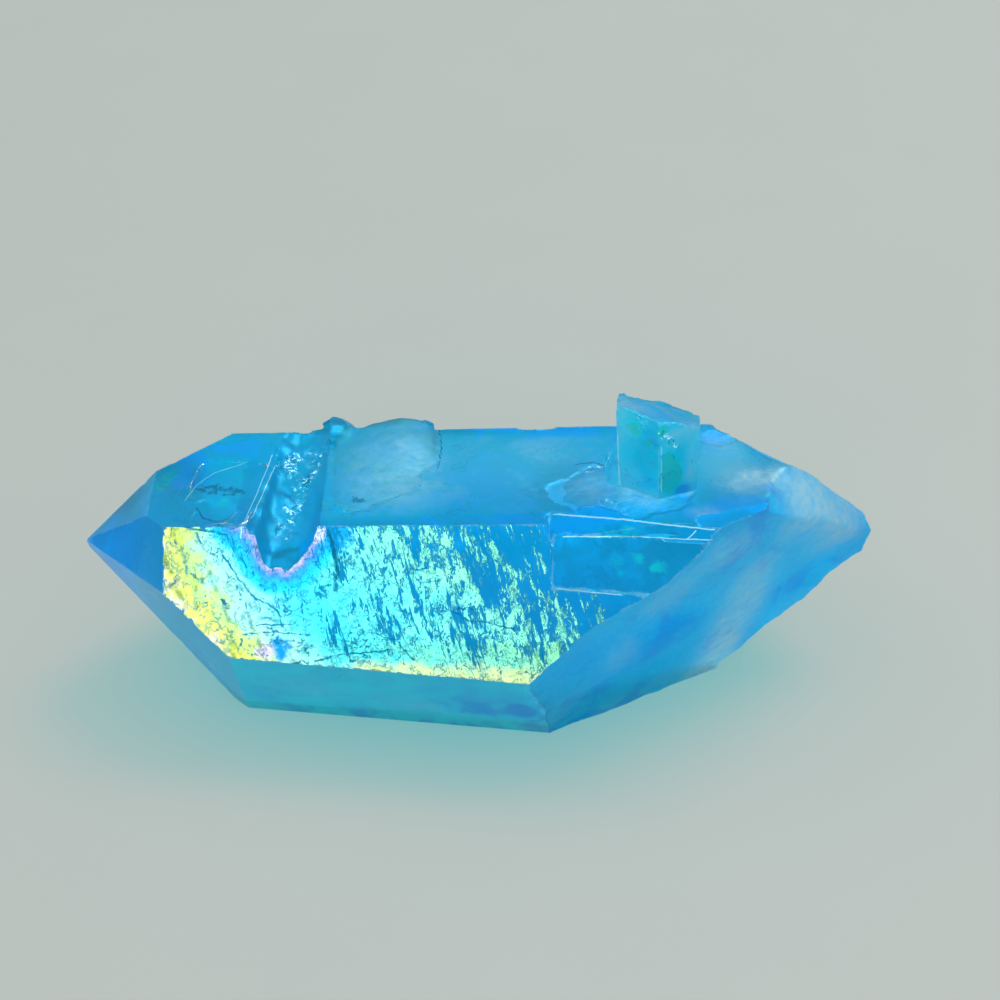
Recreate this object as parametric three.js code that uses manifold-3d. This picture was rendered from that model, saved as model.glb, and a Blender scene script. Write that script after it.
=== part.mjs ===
// An aura quartz crystal, lying on one face of its six-sided prism: pointed at the -X end, broken off at the
// +X end, with the stump of a side crystal standing on its top face. Millimetres, +Z up, long axis along X.
// The origin of the finished crystal is the middle of the bottom of its box.

import * as THREE from "three";
import { ConvexGeometry } from "three/addons/geometries/ConvexGeometry.js";
import { ImprovedNoise } from "three/addons/math/ImprovedNoise.js";
import { mergeVertices } from "three/addons/utils/BufferGeometryUtils.js";
import Module from "manifold-3d";

const wasm = await Module();
wasm.setup();

// ---- Driving dimensions ------------------------------------------------------------------------------
// x, y and z start under the middle of the long axis, on the surface that the crystal rests on.
// On a face, `along` runs from the foot of the middle of the axis towards +X, and `across` runs the way in
// which the turn of the faces grows: up the front, over the top and down the back.

// Height of the long axis of the prism above the face that the crystal rests on.
const AXIS_HEIGHT = 9.3;

// Faces of the prism. turn: degrees about the long axis, from the front (-Y) upwards. lean: degrees that the
// face leans towards the point. distance: from the axis, square to the face.
const PRISM = {
  top: { turn: 90.6, lean: 3.5, distance: 9.2 },
  upperFront: { turn: 30.2, lean: 2.7, distance: 8.4 },
  lowerFront: { turn: -29.8, lean: 3.6, distance: 8.9 },
  resting: { turn: -90, lean: 0, distance: AXIS_HEIGHT },
  lowerBack: { turn: -150.5, lean: 2.2, distance: 10.6 },
  upperBack: { turn: 150, lean: 1.6, distance: 12 },
};

// Faces of the pointed end, in the same terms.
const POINT = {
  top: { turn: 87.9, lean: 40.5, distance: 22.3 },
  upperFront: { turn: 29.5, lean: 42.3, distance: 21.3 },
  lowerFront: { turn: -29.9, lean: 39.2, distance: 17.8 },
  bottom: { turn: -90.1, lean: 45.7, distance: 20.7 },
  lowerBack: { turn: -149.5, lean: 41, distance: 22.5 },
  upperBack: { turn: 150.6, lean: 42, distance: 22.2 },
};

// How far the prism reaches to +X before its end is broken off.
const UNBROKEN_END = 32;

// Surfaces of the broken end. heading: degrees from +X towards +Y. pitch: degrees up from level.
// distance: from the middle of the axis. relief: height of its lumps and ledges. seed: their pattern.
const BREAK = {
  front: { heading: -55.9, pitch: -17.9, distance: 9.8, relief: 0.5, seed: 1.3 },
  upperRim: { heading: -23.9, pitch: 30.3, distance: 21.9, relief: 0.6, seed: 2.7 },
  upperBack: { heading: 49, pitch: 47.5, distance: 18.9, relief: 0.7, seed: 3.1 },
  underside: { heading: 50.3, pitch: -50, distance: 15.9, relief: 0.6, seed: 4.9 },
  tip: { heading: 37, pitch: 0, distance: 27, relief: 0.8, seed: 5.5 },
};
const BREAK_MIDDLE = { x: 22, y: 3, z: 9 };
const BREAK_SIZE = 60;
const BREAK_CELL = 1.3;

// A flake off the corner between the top, the upper front face and the break.
const CORNER_FLAKE = { x: 19, y: -2.6, heading: -95, pitch: 79, size: 8.2, relief: 0.12, cell: 0.6, seed: 6 };

// A narrow face that takes off the ridge between the top and the upper front face, from fromX to the break.
const RIDGE_BEVEL = { fromX: 4.4, turn: 66.3, lean: 8.5, distance: 9.05 };

// The recess below the bevel, where a thin plate of the upper front face came away.
const RECESS = { fromX: 4.7, bottom: 14.8, top: 18.2, depth: 0.28 };

// The channel that a lost crystal left across the top face, open at the front and running out at the back.
// ledge: how far down a straight shelf lies along its -X side. lumps: height of the ripples on its floor.
// It gets shallower quickly and narrower slowly on its way to the back.
const CHANNEL = {
  x: -15,
  width: 5.6,
  backWidth: 4,
  frontY: -7.5,
  backY: 9.5,
  frontDepth: 3.15,
  backDepth: 0.35,
  ledge: 0.28,
  lumps: 0.5,
  cell: 0.4,
};

// The worn lump that stands behind the channel.
const CHANNEL_LUMP = { x: -12.9, y: 8.1, radiusX: 2.3, radiusY: 1.6, radiusZ: 1.25, detail: 3, seed: 7.7 };

// The frosted patch beside the channel, where a second crystal broke off. It is turned a little from the axis.
const PATCH = {
  x: -8.1,
  y: 3.2,
  width: 7.6,
  length: 10.6,
  turn: 6,
  frontHeight: 0.02,
  backHeight: 1.35,
  relief: 0.3,
  cell: 0.7,
  seed: 16.3,
};

// The stump of the side crystal, a smaller six-sided prism that leans to the point, with its end broken off.
const STUMP = { x: 12.15, y: 1, radius: 3.3, endRadius: 3.5, depthRatio: 0.85, lean: 2, height: 6.2 };
const STUMP_BREAK = { heading: 48, pitch: 68, relief: 0.6, cell: 0.55, seed: 8.4 };

// A flat-sided foot that grows against the stump, and the rubble around both.
// sunk: how far the middle of the rubble lies below the top face.
const STUMP_FOOT = { x: 11.5, y: 2.1, radius: 3.8, endRadius: 3, height: 1.6 };
const RUBBLE = { x: 11.2, y: -0.6, sunk: 0.8, radiusX: 6.4, radiusY: 4.6, radiusZ: 1.2, detail: 4, seed: 9 };

// Bowls chipped out of the faces. radiusX: along the face. radiusY: across it. radiusZ: how deep.
const BOWLS = [
  { face: PRISM.top, along: -19.8, across: -1.7, radiusX: 1.7, radiusY: 2.2, radiusZ: 0.42, seed: 10.1 },
  { face: PRISM.top, along: -19, across: 0.6, radiusX: 3.4, radiusY: 4.3, radiusZ: 0.16, seed: 11.6 },
  { face: PRISM.top, along: 17.2, across: 6.5, radiusX: 1.2, radiusY: 0.8, radiusZ: 0.3, seed: 12.8 },
  { face: PRISM.top, along: -21.6, across: -4.6, radiusX: 0.45, radiusY: 0.5, radiusZ: 0.35, seed: 13.4 },
  { face: PRISM.top, along: 3.4, across: 8.7, radiusX: 1.9, radiusY: 0.5, radiusZ: 0.3, seed: 14.4 },
  { face: POINT.upperFront, along: -3.2, across: 4.2, radiusX: 1.2, radiusY: 1, radiusZ: 0.35, seed: 15.9 },
  { face: PRISM.upperBack, along: -4, across: 1.5, radiusX: 3.2, radiusY: 1.6, radiusZ: 0.4, seed: 17.2 },
  { face: PRISM.lowerBack, along: 6.5, across: -0.5, radiusX: 2.4, radiusY: 3, radiusZ: 0.45, seed: 18.6 },
];
const BOWL_DETAIL = 3;

// ---- Helpers -----------------------------------------------------------------------------------------

const AXIS_MIDDLE = new THREE.Vector3(0, 0, AXIS_HEIGHT);
const LONG_WAY = new THREE.Vector3(1, 0, 0);
const noise = new ImprovedNoise();
const toRadians = THREE.MathUtils.degToRad;

/** Outward direction of a crystal face, from its turn about the long axis and its lean. */
function crystalDirection({ turn, lean }) {
  const around = toRadians(turn);
  const back = toRadians(lean);
  const across = Math.cos(back);
  return new THREE.Vector3(-Math.sin(back), -across * Math.cos(around), across * Math.sin(around));
}

/** Outward direction of a broken surface, from its heading and pitch. */
function breakDirection({ heading, pitch }) {
  const round = toRadians(heading);
  const up = toRadians(pitch);
  const level = Math.cos(up);
  return new THREE.Vector3(level * Math.cos(round), level * Math.sin(round), Math.sin(up));
}

/** The plane that faces `direction` at `distance` from the middle of the long axis. */
function planeAt(direction, distance) {
  const foot = AXIS_MIDDLE.clone().addScaledVector(direction, distance);
  return new THREE.Plane().setFromNormalAndCoplanarPoint(direction, foot);
}

/** The plane of a crystal face, or one `proud` of it. */
function facePlane(face, proud = 0) {
  return planeAt(crystalDirection(face), face.distance + proud);
}

/** The height at which a vertical line through (x, y) meets a plane. */
function heightOn(plane, x, y) {
  return -(plane.constant + plane.normal.x * x + plane.normal.y * y) / plane.normal.z;
}

/** The matrix whose +Z is `direction`, whose +X is as near the long axis as it can be, at `point`. */
function standing(point, direction) {
  const along = LONG_WAY.clone().projectOnPlane(direction).normalize();
  const across = new THREE.Vector3().crossVectors(direction, along);
  return new THREE.Matrix4().makeBasis(along, across, direction).setPosition(point);
}

/** The matrix that stands a shape on a crystal face. */
function standingOn(face, along, across) {
  const foot = AXIS_MIDDLE.clone().addScaledVector(crystalDirection(face), face.distance);
  const onFoot = standing(foot, crystalDirection(face));
  return onFoot.multiply(new THREE.Matrix4().makeTranslation(along, across, 0));
}

/** The point where three planes meet, or null where they don't. */
function meetingPoint(first, second, third) {
  const crossing = new THREE.Vector3().crossVectors(second.normal, third.normal);
  const volume = first.normal.dot(crossing);
  if (Math.abs(volume) < 1e-6) {
    return null;
  }
  const point = crossing.multiplyScalar(-first.constant);
  point.addScaledVector(new THREE.Vector3().crossVectors(third.normal, first.normal), -second.constant);
  point.addScaledVector(new THREE.Vector3().crossVectors(first.normal, second.normal), -third.constant);
  return point.divideScalar(volume);
}

/** The closed body with flat faces that lies behind every one of the planes. */
function bodyBehind(planes) {
  const corners = [];
  for (let i = 0; i < planes.length; i += 1) {
    for (let j = i + 1; j < planes.length; j += 1) {
      for (let k = j + 1; k < planes.length; k += 1) {
        const corner = meetingPoint(planes[i], planes[j], planes[k]);
        if (corner && planes.every((plane) => plane.distanceToPoint(corner) < 1e-5)) {
          corners.push(corner);
        }
      }
    }
  }
  return solidOf(new ConvexGeometry(corners));
}

/** Makes a closed geometry a solid that can be joined and cut. */
function solidOf(geometry) {
  const bare = new THREE.BufferGeometry();
  bare.setAttribute("position", geometry.getAttribute("position"));
  bare.setIndex(geometry.getIndex());
  const merged = mergeVertices(bare, 1e-4);
  const vertProperties = new Float32Array(merged.getAttribute("position").array);
  const triVerts = new Uint32Array(merged.getIndex().array);
  return new wasm.Manifold(new wasm.Mesh({ numProp: 3, vertProperties, triVerts }));
}

/** Makes a solid a geometry again. */
function geometryOf(solid) {
  const mesh = solid.getMesh();
  const geometry = new THREE.BufferGeometry();
  geometry.setAttribute("position", new THREE.BufferAttribute(new Float32Array(mesh.vertProperties), 3));
  geometry.setIndex(new THREE.BufferAttribute(new Uint32Array(mesh.triVerts), 1));
  return geometry;
}

/** Height, about -1 to 1, of a surface of broken quartz: long swells, flat ledges and grit. */
function brokenRelief(u, v, seed) {
  const swell = noise.noise(u / 9, v / 6, seed);
  const ledge = Math.round(3 * noise.noise(u / 7, v / 4.5, seed + 20)) / 3;
  const grit = noise.noise(u / 2.1, v / 1.6, seed + 40);
  return 0.9 * swell + 0.7 * ledge + 0.45 * grit;
}

/** A block in a grid of cells, whose lower and upper side have the heights bottom(u, v) and top(u, v). */
function unevenBlock({ width, length, cell, bottom, top }) {
  const block = new THREE.BoxGeometry(width, length, 2, Math.ceil(width / cell), Math.ceil(length / cell), 1);
  const place = block.getAttribute("position");
  for (let i = 0; i < place.count; i += 1) {
    const side = place.getZ(i) < 0 ? bottom : top;
    place.setZ(i, side(place.getX(i), place.getY(i)));
  }
  return block;
}

/** What lies beyond a broken surface: an uneven block to cut away. */
function beyondBreak(point, direction, { size, cell, relief, seed }) {
  const block = unevenBlock({
    width: size,
    length: size,
    cell,
    bottom: (u, v) => relief * brokenRelief(u, v, seed),
    top: () => size,
  });
  return solidOf(block.applyMatrix4(standing(point, direction)));
}

/** A ball flattened to its radii, with a worn and dented surface. */
function wornBall({ radiusX, radiusY, radiusZ, detail, seed }) {
  const ball = new THREE.IcosahedronGeometry(1, detail);
  const place = ball.getAttribute("position");
  const spot = new THREE.Vector3();
  for (let i = 0; i < place.count; i += 1) {
    spot.fromBufferAttribute(place, i);
    const swell = 1 + 0.3 * noise.noise(2 * spot.x + seed, 2 * spot.y, 2 * spot.z);
    place.setXYZ(i, swell * radiusX * spot.x, swell * radiusY * spot.y, swell * radiusZ * spot.z);
  }
  return ball;
}

/** A six-sided post that stands on the level of its origin and reaches as far below it. */
function sixSidedPost(radius, endRadius, height) {
  const growth = (endRadius - radius) / height;
  const reach = 2 * height;
  const post = new THREE.CylinderGeometry(radius + growth * reach, radius - growth * reach, 2 * reach, 6, 1);
  return post.rotateX(Math.PI / 2);
}

// ---- The crystal -------------------------------------------------------------------------------------

const TOP_PLANE = facePlane(PRISM.top);

/** The point of the top face above (x, y). */
function onTop({ x, y }) {
  return new THREE.Vector3(x, y, heightOn(TOP_PLANE, x, y));
}

/** The six-sided prism with its point, before it was broken. */
function unbrokenPrism() {
  const faces = [...Object.values(PRISM), ...Object.values(POINT)];
  return bodyBehind([...faces.map((face) => facePlane(face)), new THREE.Plane(LONG_WAY, -UNBROKEN_END)]);
}

/** What the break took away beyond one of its surfaces. */
function brokenAway(surface) {
  const plane = planeAt(breakDirection(surface), surface.distance);
  const { x, y, z } = BREAK_MIDDLE;
  const middle = plane.projectPoint(new THREE.Vector3(x, y, z), new THREE.Vector3());
  return beyondBreak(middle, plane.normal, { size: BREAK_SIZE, cell: BREAK_CELL, ...surface });
}

/** The flake that is missing from the top corner of the break. */
function cornerFlake() {
  return beyondBreak(onTop(CORNER_FLAKE), breakDirection(CORNER_FLAKE), CORNER_FLAKE);
}

/** The strip that the bevel takes off the ridge. */
function ridgeStrip() {
  const clearance = 1;
  return bodyBehind([
    facePlane(RIDGE_BEVEL).negate(),
    facePlane(PRISM.top, clearance),
    facePlane(PRISM.upperFront, clearance),
    new THREE.Plane(LONG_WAY.clone().negate(), RIDGE_BEVEL.fromX),
    new THREE.Plane(LONG_WAY, -UNBROKEN_END),
  ]);
}

/** The thin plate that is missing from the upper front face. */
function recessPlate() {
  const clearance = 1;
  return bodyBehind([
    facePlane(PRISM.upperFront, -RECESS.depth).negate(),
    facePlane(PRISM.upperFront, clearance),
    new THREE.Plane(LONG_WAY.clone().negate(), RECESS.fromX),
    new THREE.Plane(LONG_WAY, -UNBROKEN_END),
    new THREE.Plane(new THREE.Vector3(0, 0, -1), RECESS.bottom),
    new THREE.Plane(new THREE.Vector3(0, 0, 1), -RECESS.top),
  ]);
}

/** Share of the channel's depth at a place across it, -1 to 1: a round floor with a shelf on its -X side. */
function channelSection(place) {
  const round = 1 - Math.abs(place) ** 2.4;
  const shelfEdge = -0.6;
  return place < shelfEdge ? Math.min(round, CHANNEL.ledge) : round;
}

/** The channel, whose rippled floor climbs to the back. */
function channelCut() {
  const { x, width, backWidth, frontY, backY, frontDepth, backDepth, lumps, cell } = CHANNEL;
  const length = backY - frontY;
  const floor = (u, v) => {
    const place = (2 * u) / width;
    const toFront = 0.5 - v / length;
    const depth = backDepth + (frontDepth - backDepth) * toFront ** 1.25;
    const ripple = Math.abs(noise.noise(u / 1.3, v / 1.9, 13.5)) + 0.4 * noise.noise(u / 0.9, v, 14.5);
    return lumps * ripple * (1 - place ** 4) - depth * channelSection(place);
  };
  const cut = unevenBlock({ width, length, cell, bottom: floor, top: () => frontDepth });
  const spots = cut.getAttribute("position");
  for (let i = 0; i < spots.count; i += 1) {
    const toBack = 0.5 + spots.getY(i) / length;
    spots.setX(i, spots.getX(i) * (1 - toBack * (1 - backWidth / width)));
  }
  const middle = onTop({ x, y: (backY + frontY) / 2 });
  return solidOf(cut.translate(middle.x, middle.y, middle.z));
}

/** The lump behind the channel. */
function channelLump() {
  const { x, y, z } = onTop(CHANNEL_LUMP);
  return solidOf(wornBall(CHANNEL_LUMP).translate(x, y, z));
}

/** The frosted patch: a low plate with a broken surface that rises to its back corner. */
function brokenPatch() {
  const { width, length, turn, frontHeight, backHeight, relief, cell, seed } = PATCH;
  const upper = (u, v) => {
    const toBack = THREE.MathUtils.clamp(v / length + 0.5, 0, 1);
    const toSide = THREE.MathUtils.clamp(u / width + 0.5, 0, 1);
    const rise = (backHeight - frontHeight) * toBack ** 1.5 * Math.sin(2.7 * toSide ** 1.3);
    const fade = Math.min(1, 0.25 + 2.5 * toBack, 0.25 + 4 * toSide);
    return frontHeight + rise + fade * relief * brokenRelief(1.5 * u, 1.5 * v, seed);
  };
  const plate = unevenBlock({ width, length, cell, bottom: () => -backHeight, top: upper });
  const { x, y, z } = onTop(PATCH);
  return solidOf(plate.rotateZ(toRadians(turn)).translate(x, y, z));
}

/** The stump, a six-sided prism whose end is broken off aslant. */
function stump() {
  const post = sixSidedPost(STUMP.radius, STUMP.endRadius, STUMP.height);
  const end = new THREE.Vector3(0, 0, STUMP.height);
  const lost = beyondBreak(end, breakDirection(STUMP_BREAK), { size: 5 * STUMP.radius, ...STUMP_BREAK });
  const { x, y, z } = onTop(STUMP);
  const leaned = post.scale(1, STUMP.depthRatio, 1).rotateY(-toRadians(STUMP.lean));
  return solidOf(leaned).subtract(lost).translate(x, y, z);
}

/** The foot of the stump and the rubble around it. */
function stumpFoot() {
  const post = sixSidedPost(STUMP_FOOT.radius, STUMP_FOOT.endRadius, STUMP_FOOT.height);
  const foot = onTop(STUMP_FOOT);
  const heap = onTop(RUBBLE);
  post.translate(foot.x, foot.y, foot.z);
  return solidOf(post).add(solidOf(wornBall(RUBBLE).translate(heap.x, heap.y, heap.z - RUBBLE.sunk)));
}

/** A shallow bowl, to cut out of a face. */
function bowlCut({ face, along, across, ...ball }) {
  return solidOf(wornBall({ ...ball, detail: BOWL_DETAIL }).applyMatrix4(standingOn(face, along, across)));
}

/** The whole crystal: what grew on the prism is joined to it, and what was lost is cut from it. */
function quartzCrystal() {
  const lost = [...Object.values(BREAK).map(brokenAway), cornerFlake()];
  const grown = [brokenPatch(), channelLump(), stump(), stumpFoot()];
  const hollows = [channelCut(), ridgeStrip(), recessPlate(), ...BOWLS.map(bowlCut)];
  let crystal = unbrokenPrism();
  lost.forEach((piece) => {
    crystal = crystal.subtract(piece);
  });
  grown.forEach((piece) => {
    crystal = crystal.add(piece);
  });
  hollows.forEach((piece) => {
    crystal = crystal.subtract(piece);
  });
  return crystal;
}

/** Moves a geometry so that its origin is the middle of the bottom of its box. */
function standOnOrigin(geometry) {
  geometry.computeBoundingBox();
  const middle = geometry.boundingBox.getCenter(new THREE.Vector3());
  return geometry.translate(-middle.x, -middle.y, -geometry.boundingBox.min.z);
}

const auraQuartz = new THREE.MeshStandardMaterial({ color: 0x2fb4e0, roughness: 0.12, metalness: 0 });

const crystal = new THREE.Mesh(standOnOrigin(geometryOf(quartzCrystal())), auraQuartz);
crystal.name = "quartz_crystal";

const model = new THREE.Group();
model.add(crystal);

export default model;
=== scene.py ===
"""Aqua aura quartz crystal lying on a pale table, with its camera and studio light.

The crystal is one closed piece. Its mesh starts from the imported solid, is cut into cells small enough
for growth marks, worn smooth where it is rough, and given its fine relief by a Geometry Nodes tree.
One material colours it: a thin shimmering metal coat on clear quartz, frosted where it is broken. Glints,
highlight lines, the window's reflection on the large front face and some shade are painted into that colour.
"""

from __future__ import annotations

import logging
import math
from collections.abc import Sequence
from dataclasses import dataclass, field
from enum import IntEnum
import bpy
import numpy as np
from mathutils import Euler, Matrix, Vector, geometry, kdtree


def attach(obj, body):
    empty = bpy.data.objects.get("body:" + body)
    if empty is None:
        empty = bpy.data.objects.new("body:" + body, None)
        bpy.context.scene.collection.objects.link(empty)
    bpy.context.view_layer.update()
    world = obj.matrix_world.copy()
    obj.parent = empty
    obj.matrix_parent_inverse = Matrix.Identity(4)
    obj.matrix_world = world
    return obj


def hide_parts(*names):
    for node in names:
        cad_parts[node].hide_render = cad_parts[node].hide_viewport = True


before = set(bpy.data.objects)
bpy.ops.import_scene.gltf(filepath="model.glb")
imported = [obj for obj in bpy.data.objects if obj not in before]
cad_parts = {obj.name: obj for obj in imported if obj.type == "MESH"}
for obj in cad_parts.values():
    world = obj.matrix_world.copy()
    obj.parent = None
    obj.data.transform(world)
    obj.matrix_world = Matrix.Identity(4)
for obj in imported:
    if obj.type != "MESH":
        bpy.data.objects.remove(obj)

LOG = logging.getLogger("aura_quartz")

MM = 0.001
NODE_NAME = "quartz_crystal"
PIECE_NAME = "aqua_aura_crystal"
AXIS_MIDDLE = (0.7966, -1.8537, 9.3)
"""Middle of the crystal's long axis in the frame, in millimetres. The sizes below count from it."""
SAME_POINT = MM * 1e-4
"""Corners nearer than this are one point."""
ON_PLANE = 0.004
"""How far off a plane a flat face's corners may lie, in millimetres."""
ALIKE = 0.999
"""The cosine between normals that count as the same."""
SLIVER = 0.03
"""Triangles lower than this have no trusted normal."""
ROW_RISE = 0.87
"""Height of a row of even triangles over their side."""
CLEAR_SHARE = 0.45
"""How clear of a border a cell's corner stays, over the cell's size."""
FADE_RATE = 1.2
FADE_POWER = 3
"""How a soft spot fades towards its edge."""
TINY = 1e-12
"""What lengths are at least, so that they can be divided by."""

Colour = tuple[float, float, float]
Place = tuple[float, float, float]


class Zone(IntEnum):
    """The kinds of surface on the crystal."""

    RAINBOW = 0
    TOP = 1
    LOWER_FRONT = 2
    RESTING = 3
    LOWER_BACK = 4
    UPPER_BACK = 5
    POINT_TOP = 6
    POINT_FRONT = 7
    POINT_LOWER = 8
    POINT_BOTTOM = 9
    POINT_LOWER_BACK = 10
    POINT_UPPER_BACK = 11
    RIDGE = 12
    RECESS = 13
    BREAK = 14
    CHANNEL = 15
    PATCH = 16
    STUMP_SIDE = 17
    STUMP_BREAK = 18
    RUBBLE = 19
    BOWL = 20
    FLAKE = 21


@dataclass(frozen=True)
class Facet:
    """A flat grown face: its turn about the long axis and lean towards the point, and its distance."""

    turn: float
    lean: float
    distance: float

    def normal(self) -> np.ndarray:
        """Outward unit normal."""
        turn, lean = math.radians(self.turn), math.radians(self.lean)
        return np.array((
            -math.sin(lean),
            -math.cos(lean) * math.cos(turn),
            math.cos(lean) * math.sin(turn),
        ))

    def rise(self, points: np.ndarray) -> np.ndarray:
        """Heights of points above the face's plane, in millimetres."""
        return points @ self.normal() - self.distance


FACETS: dict[Zone, Facet] = {
    Zone.TOP: Facet(90.6, 3.5, 9.2),
    Zone.RAINBOW: Facet(30.2, 2.7, 8.4),
    Zone.LOWER_FRONT: Facet(-29.8, 3.6, 8.9),
    Zone.RESTING: Facet(-90, 0, 9.3),
    Zone.LOWER_BACK: Facet(-150.5, 2.2, 10.6),
    Zone.UPPER_BACK: Facet(150, 1.6, 12),
    Zone.POINT_TOP: Facet(87.9, 40.5, 22.3),
    Zone.POINT_FRONT: Facet(29.5, 42.3, 21.3),
    Zone.POINT_LOWER: Facet(-29.9, 39.2, 17.8),
    Zone.POINT_BOTTOM: Facet(-90.1, 45.7, 20.7),
    Zone.POINT_LOWER_BACK: Facet(-149.5, 41, 22.5),
    Zone.POINT_UPPER_BACK: Facet(150.6, 42, 22.2),
    Zone.RIDGE: Facet(66.3, 8.5, 9.05),
    Zone.RECESS: Facet(30.2, 2.7, 8.12),
}


@dataclass(frozen=True)
class Break:
    """A broken surface: the way it faces, in degrees."""

    heading: float
    pitch: float

    def normal(self) -> np.ndarray:
        """Outward unit normal."""
        heading, pitch = math.radians(self.heading), math.radians(self.pitch)
        return np.array((
            math.cos(pitch) * math.cos(heading),
            math.cos(pitch) * math.sin(heading),
            math.sin(pitch),
        ))


STUMP_TOP = Break(48, 68)


@dataclass(frozen=True)
class Spot:
    """A round place on the crystal: its middle and half-sizes in millimetres, at any height or at one."""

    x: float
    y: float
    radius_x: float
    radius_y: float
    z: float = 0.0
    radius_z: float = math.inf

    def reach(self, points: np.ndarray) -> np.ndarray:
        """Distances of points from the middle, where 1 is the edge."""
        middle = (self.x, self.y, self.z)
        return np.linalg.norm((points - middle) / (self.radius_x, self.radius_y, self.radius_z), axis=1)

    def fade(self, points: np.ndarray) -> np.ndarray:
        """How strong the spot is at points: 1 at its middle, and almost nothing past its edge."""
        return np.exp(-FADE_RATE * self.reach(points) ** FADE_POWER)


@dataclass(frozen=True)
class Crack:
    """A thin line on a grown face, from place to place along and up across it, in millimetres."""

    places: tuple[tuple[float, float], ...]
    width: float = 0.07


STUMP_SPOT = Spot(12.2, 1.2, 4.4, 4.2)
RUBBLE_SPOT = Spot(11.6, 0.4, 6.3, 5.6)
PATCH_SPOT = Spot(-8.1, 3.4, 4.9, 6.3)
CHANNEL_SPOT = Spot(-15, 2, 3.6, 14)
FLAKE_SPOT = Spot(18, -3, 3.6, 2.4)
BREAK_FROM_X = 2.8
CHANNEL_DEPTH = 5
RAISED = 0.01
FLAKE_DEPTH = 1.2
FLAKE_LEVEL = 0.93
STUMP_RISES = 0.9
STUMP_TOP_ALIKE = 0.86
WORN_CORNERS = ((Spot(8.7, 1.8, 1.3, 2.6, 17.6, 1.7), 40), (Spot(14.6, 0.4, 0.9, 1.8, 15.6, 1.1), 20))
"""Corners worn round, and how often their points are smoothed."""

HAZES = (
    (Spot(-7.6, 3.1, 3.8, 5), 0.8),
    (Spot(1.5, 3.0, 8, 4.5), 0.4),
    (Spot(7.9, -0.1, 2.2, 2.2), 0.8),
    (Spot(16.9, 3.6, 2.3, 3.7), 1.1),
    (Spot(18.9, 1.2, 2.3, 1.9), 1.3),
    (Spot(11.2, -1.4, 1.6, 1.2, 10.2, 0.6), 1.0),
    (Spot(15.4, -3.2, 1.2, 0.8, 10.1, 0.8), 0.9),
    (Spot(13.2, -4.9, 2.6, 2, 4.2, 3.2), 0.6),
    (Spot(9.9, -5.3, 1.6, 1.6, -1.6, 2.0), 0.5),
    (Spot(17.6, -3.6, 3.2, 2, 7, 2), 0.8),
    (Spot(23.4, 2, 3.8, 3.2, 8, 2.8), 1.8),
    (Spot(26.4, 4.6, 3.0, 3.4, 4.4, 2.6), 1.8),
    (Spot(4, 9.6, 6, 3, 0, 3.4), 0.9),
    (Spot(-12, 9.6, 4, 3, -5, 2.6), 0.8),
    (Spot(16, 9, 4, 3, -3, 3), 1.0),
    (Spot(9.9, -0.9, 1.1, 1.4, 11.2, 1.3), 1.1),
    (Spot(14.5, -0.4, 0.6, 1.6, 13, 3), 1.4),
    (Spot(13.3, -0.9, 1.3, 1.5, 15.2, 0.8), 1.2),
    (Spot(10, 0.2, 2, 2, 16.9, 0.4), 0.8),
    (Spot(-21, 5.4, 4.5, 3), -0.5),
    (Spot(4, 8.6, 8, 1.2), -0.6),
    (Spot(-24.4, -3.0, 1.8, 3, 2, 4), 0.7),
    (Spot(-21.5, -4.5, 2.4, 4, -5, 3.4), 0.9),
    (Spot(-14, -6.5, 3.4, 4, -4.6, 2.4), 0.3),
    (Spot(-6.5, -6.5, 4, 4, -5.4, 1.6), 0.25),
    (Spot(-3, -4.2, 13, 1.2), -0.4),
    (Spot(11, -3, 5, 4, -6, 3.5), -0.16),
    (Spot(19, 1, 5, 4.5, -3.5, 3.4), -0.16),
    (Spot(24.5, 4, 3.5, 4, -0.8, 2), -0.2),
    (Spot(14.5, -3.4, 4, 3, -1.0, 2.4), -0.14),
)
"""Where frost lies thickest, seen from above, and by how much."""
DEPTHS = (
    (Spot(-22.3, 5.6, 2.4, 1.5), 1.4),
    (Spot(-18.9, 6.6, 2.6, 1.3), 1.4),
    (Spot(-23.2, 2.0, 0.7, 2.2), 1.0),
    (Spot(-22.6, 2.2, 1.4, 1.6, 7.8, 1), 1.0),
    (Spot(-28.8, -0.6, 2.4, 3, 3.2, 4), 1.0),
    (Spot(2, -6.5, 6, 3, -6, 3), 1.0),
    (Spot(4, 8.6, 8, 1.2), 1.6),
    (Spot(-3, -4.2, 13, 1.0), 1.3),
    (Spot(18, -2.7, 2.8, 1.3), 1.5),
    (Spot(20.6, -0.1, 1.0, 0.7), 1.2),
    (Spot(16.5, 6.9, 1.1, 0.9), 1.5),
    (Spot(6.4, -3.2, 2.6, 1.0), 1.0),
    (Spot(13, -3.4, 2.2, 0.7), 0.9),
    (Spot(11.2, -1.3, 1.0, 1.5, 13.6, 2.4), 1.2),
    (Spot(13.9, -1.0, 0.6, 1.0, 10.5, 0.5), 1.4),
    (Spot(8.6, 0.3, 0.6, 1.6, 11.4, 1.6), 0.9),
    (Spot(14.2, -2.5, 2.2, 1.5, -1.4, 1.5), 0.8),
    (Spot(8, -3.6, 4.6, 3, -8.0, 2.4), 1.6),
    (Spot(12.6, -0.5, 3.6, 2, -8.4, 1.9), 1.3),
    (Spot(17.5, 1.5, 3, 2, -5, 1.8), 1.1),
    (Spot(22.6, 3.6, 3, 2, -1.2, 1.4), 1.0),
    (Spot(27, 6.3, 1.3, 1.5, -0.2, 1), 1.2),
    (Spot(-4, 9.6, 4, 3, 3, 2), 0.8),
    (Spot(10, 9.6, 3, 3, -5, 2), 0.9),
)
"""Where the blue is deepest, seen from above, and by how much."""
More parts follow.
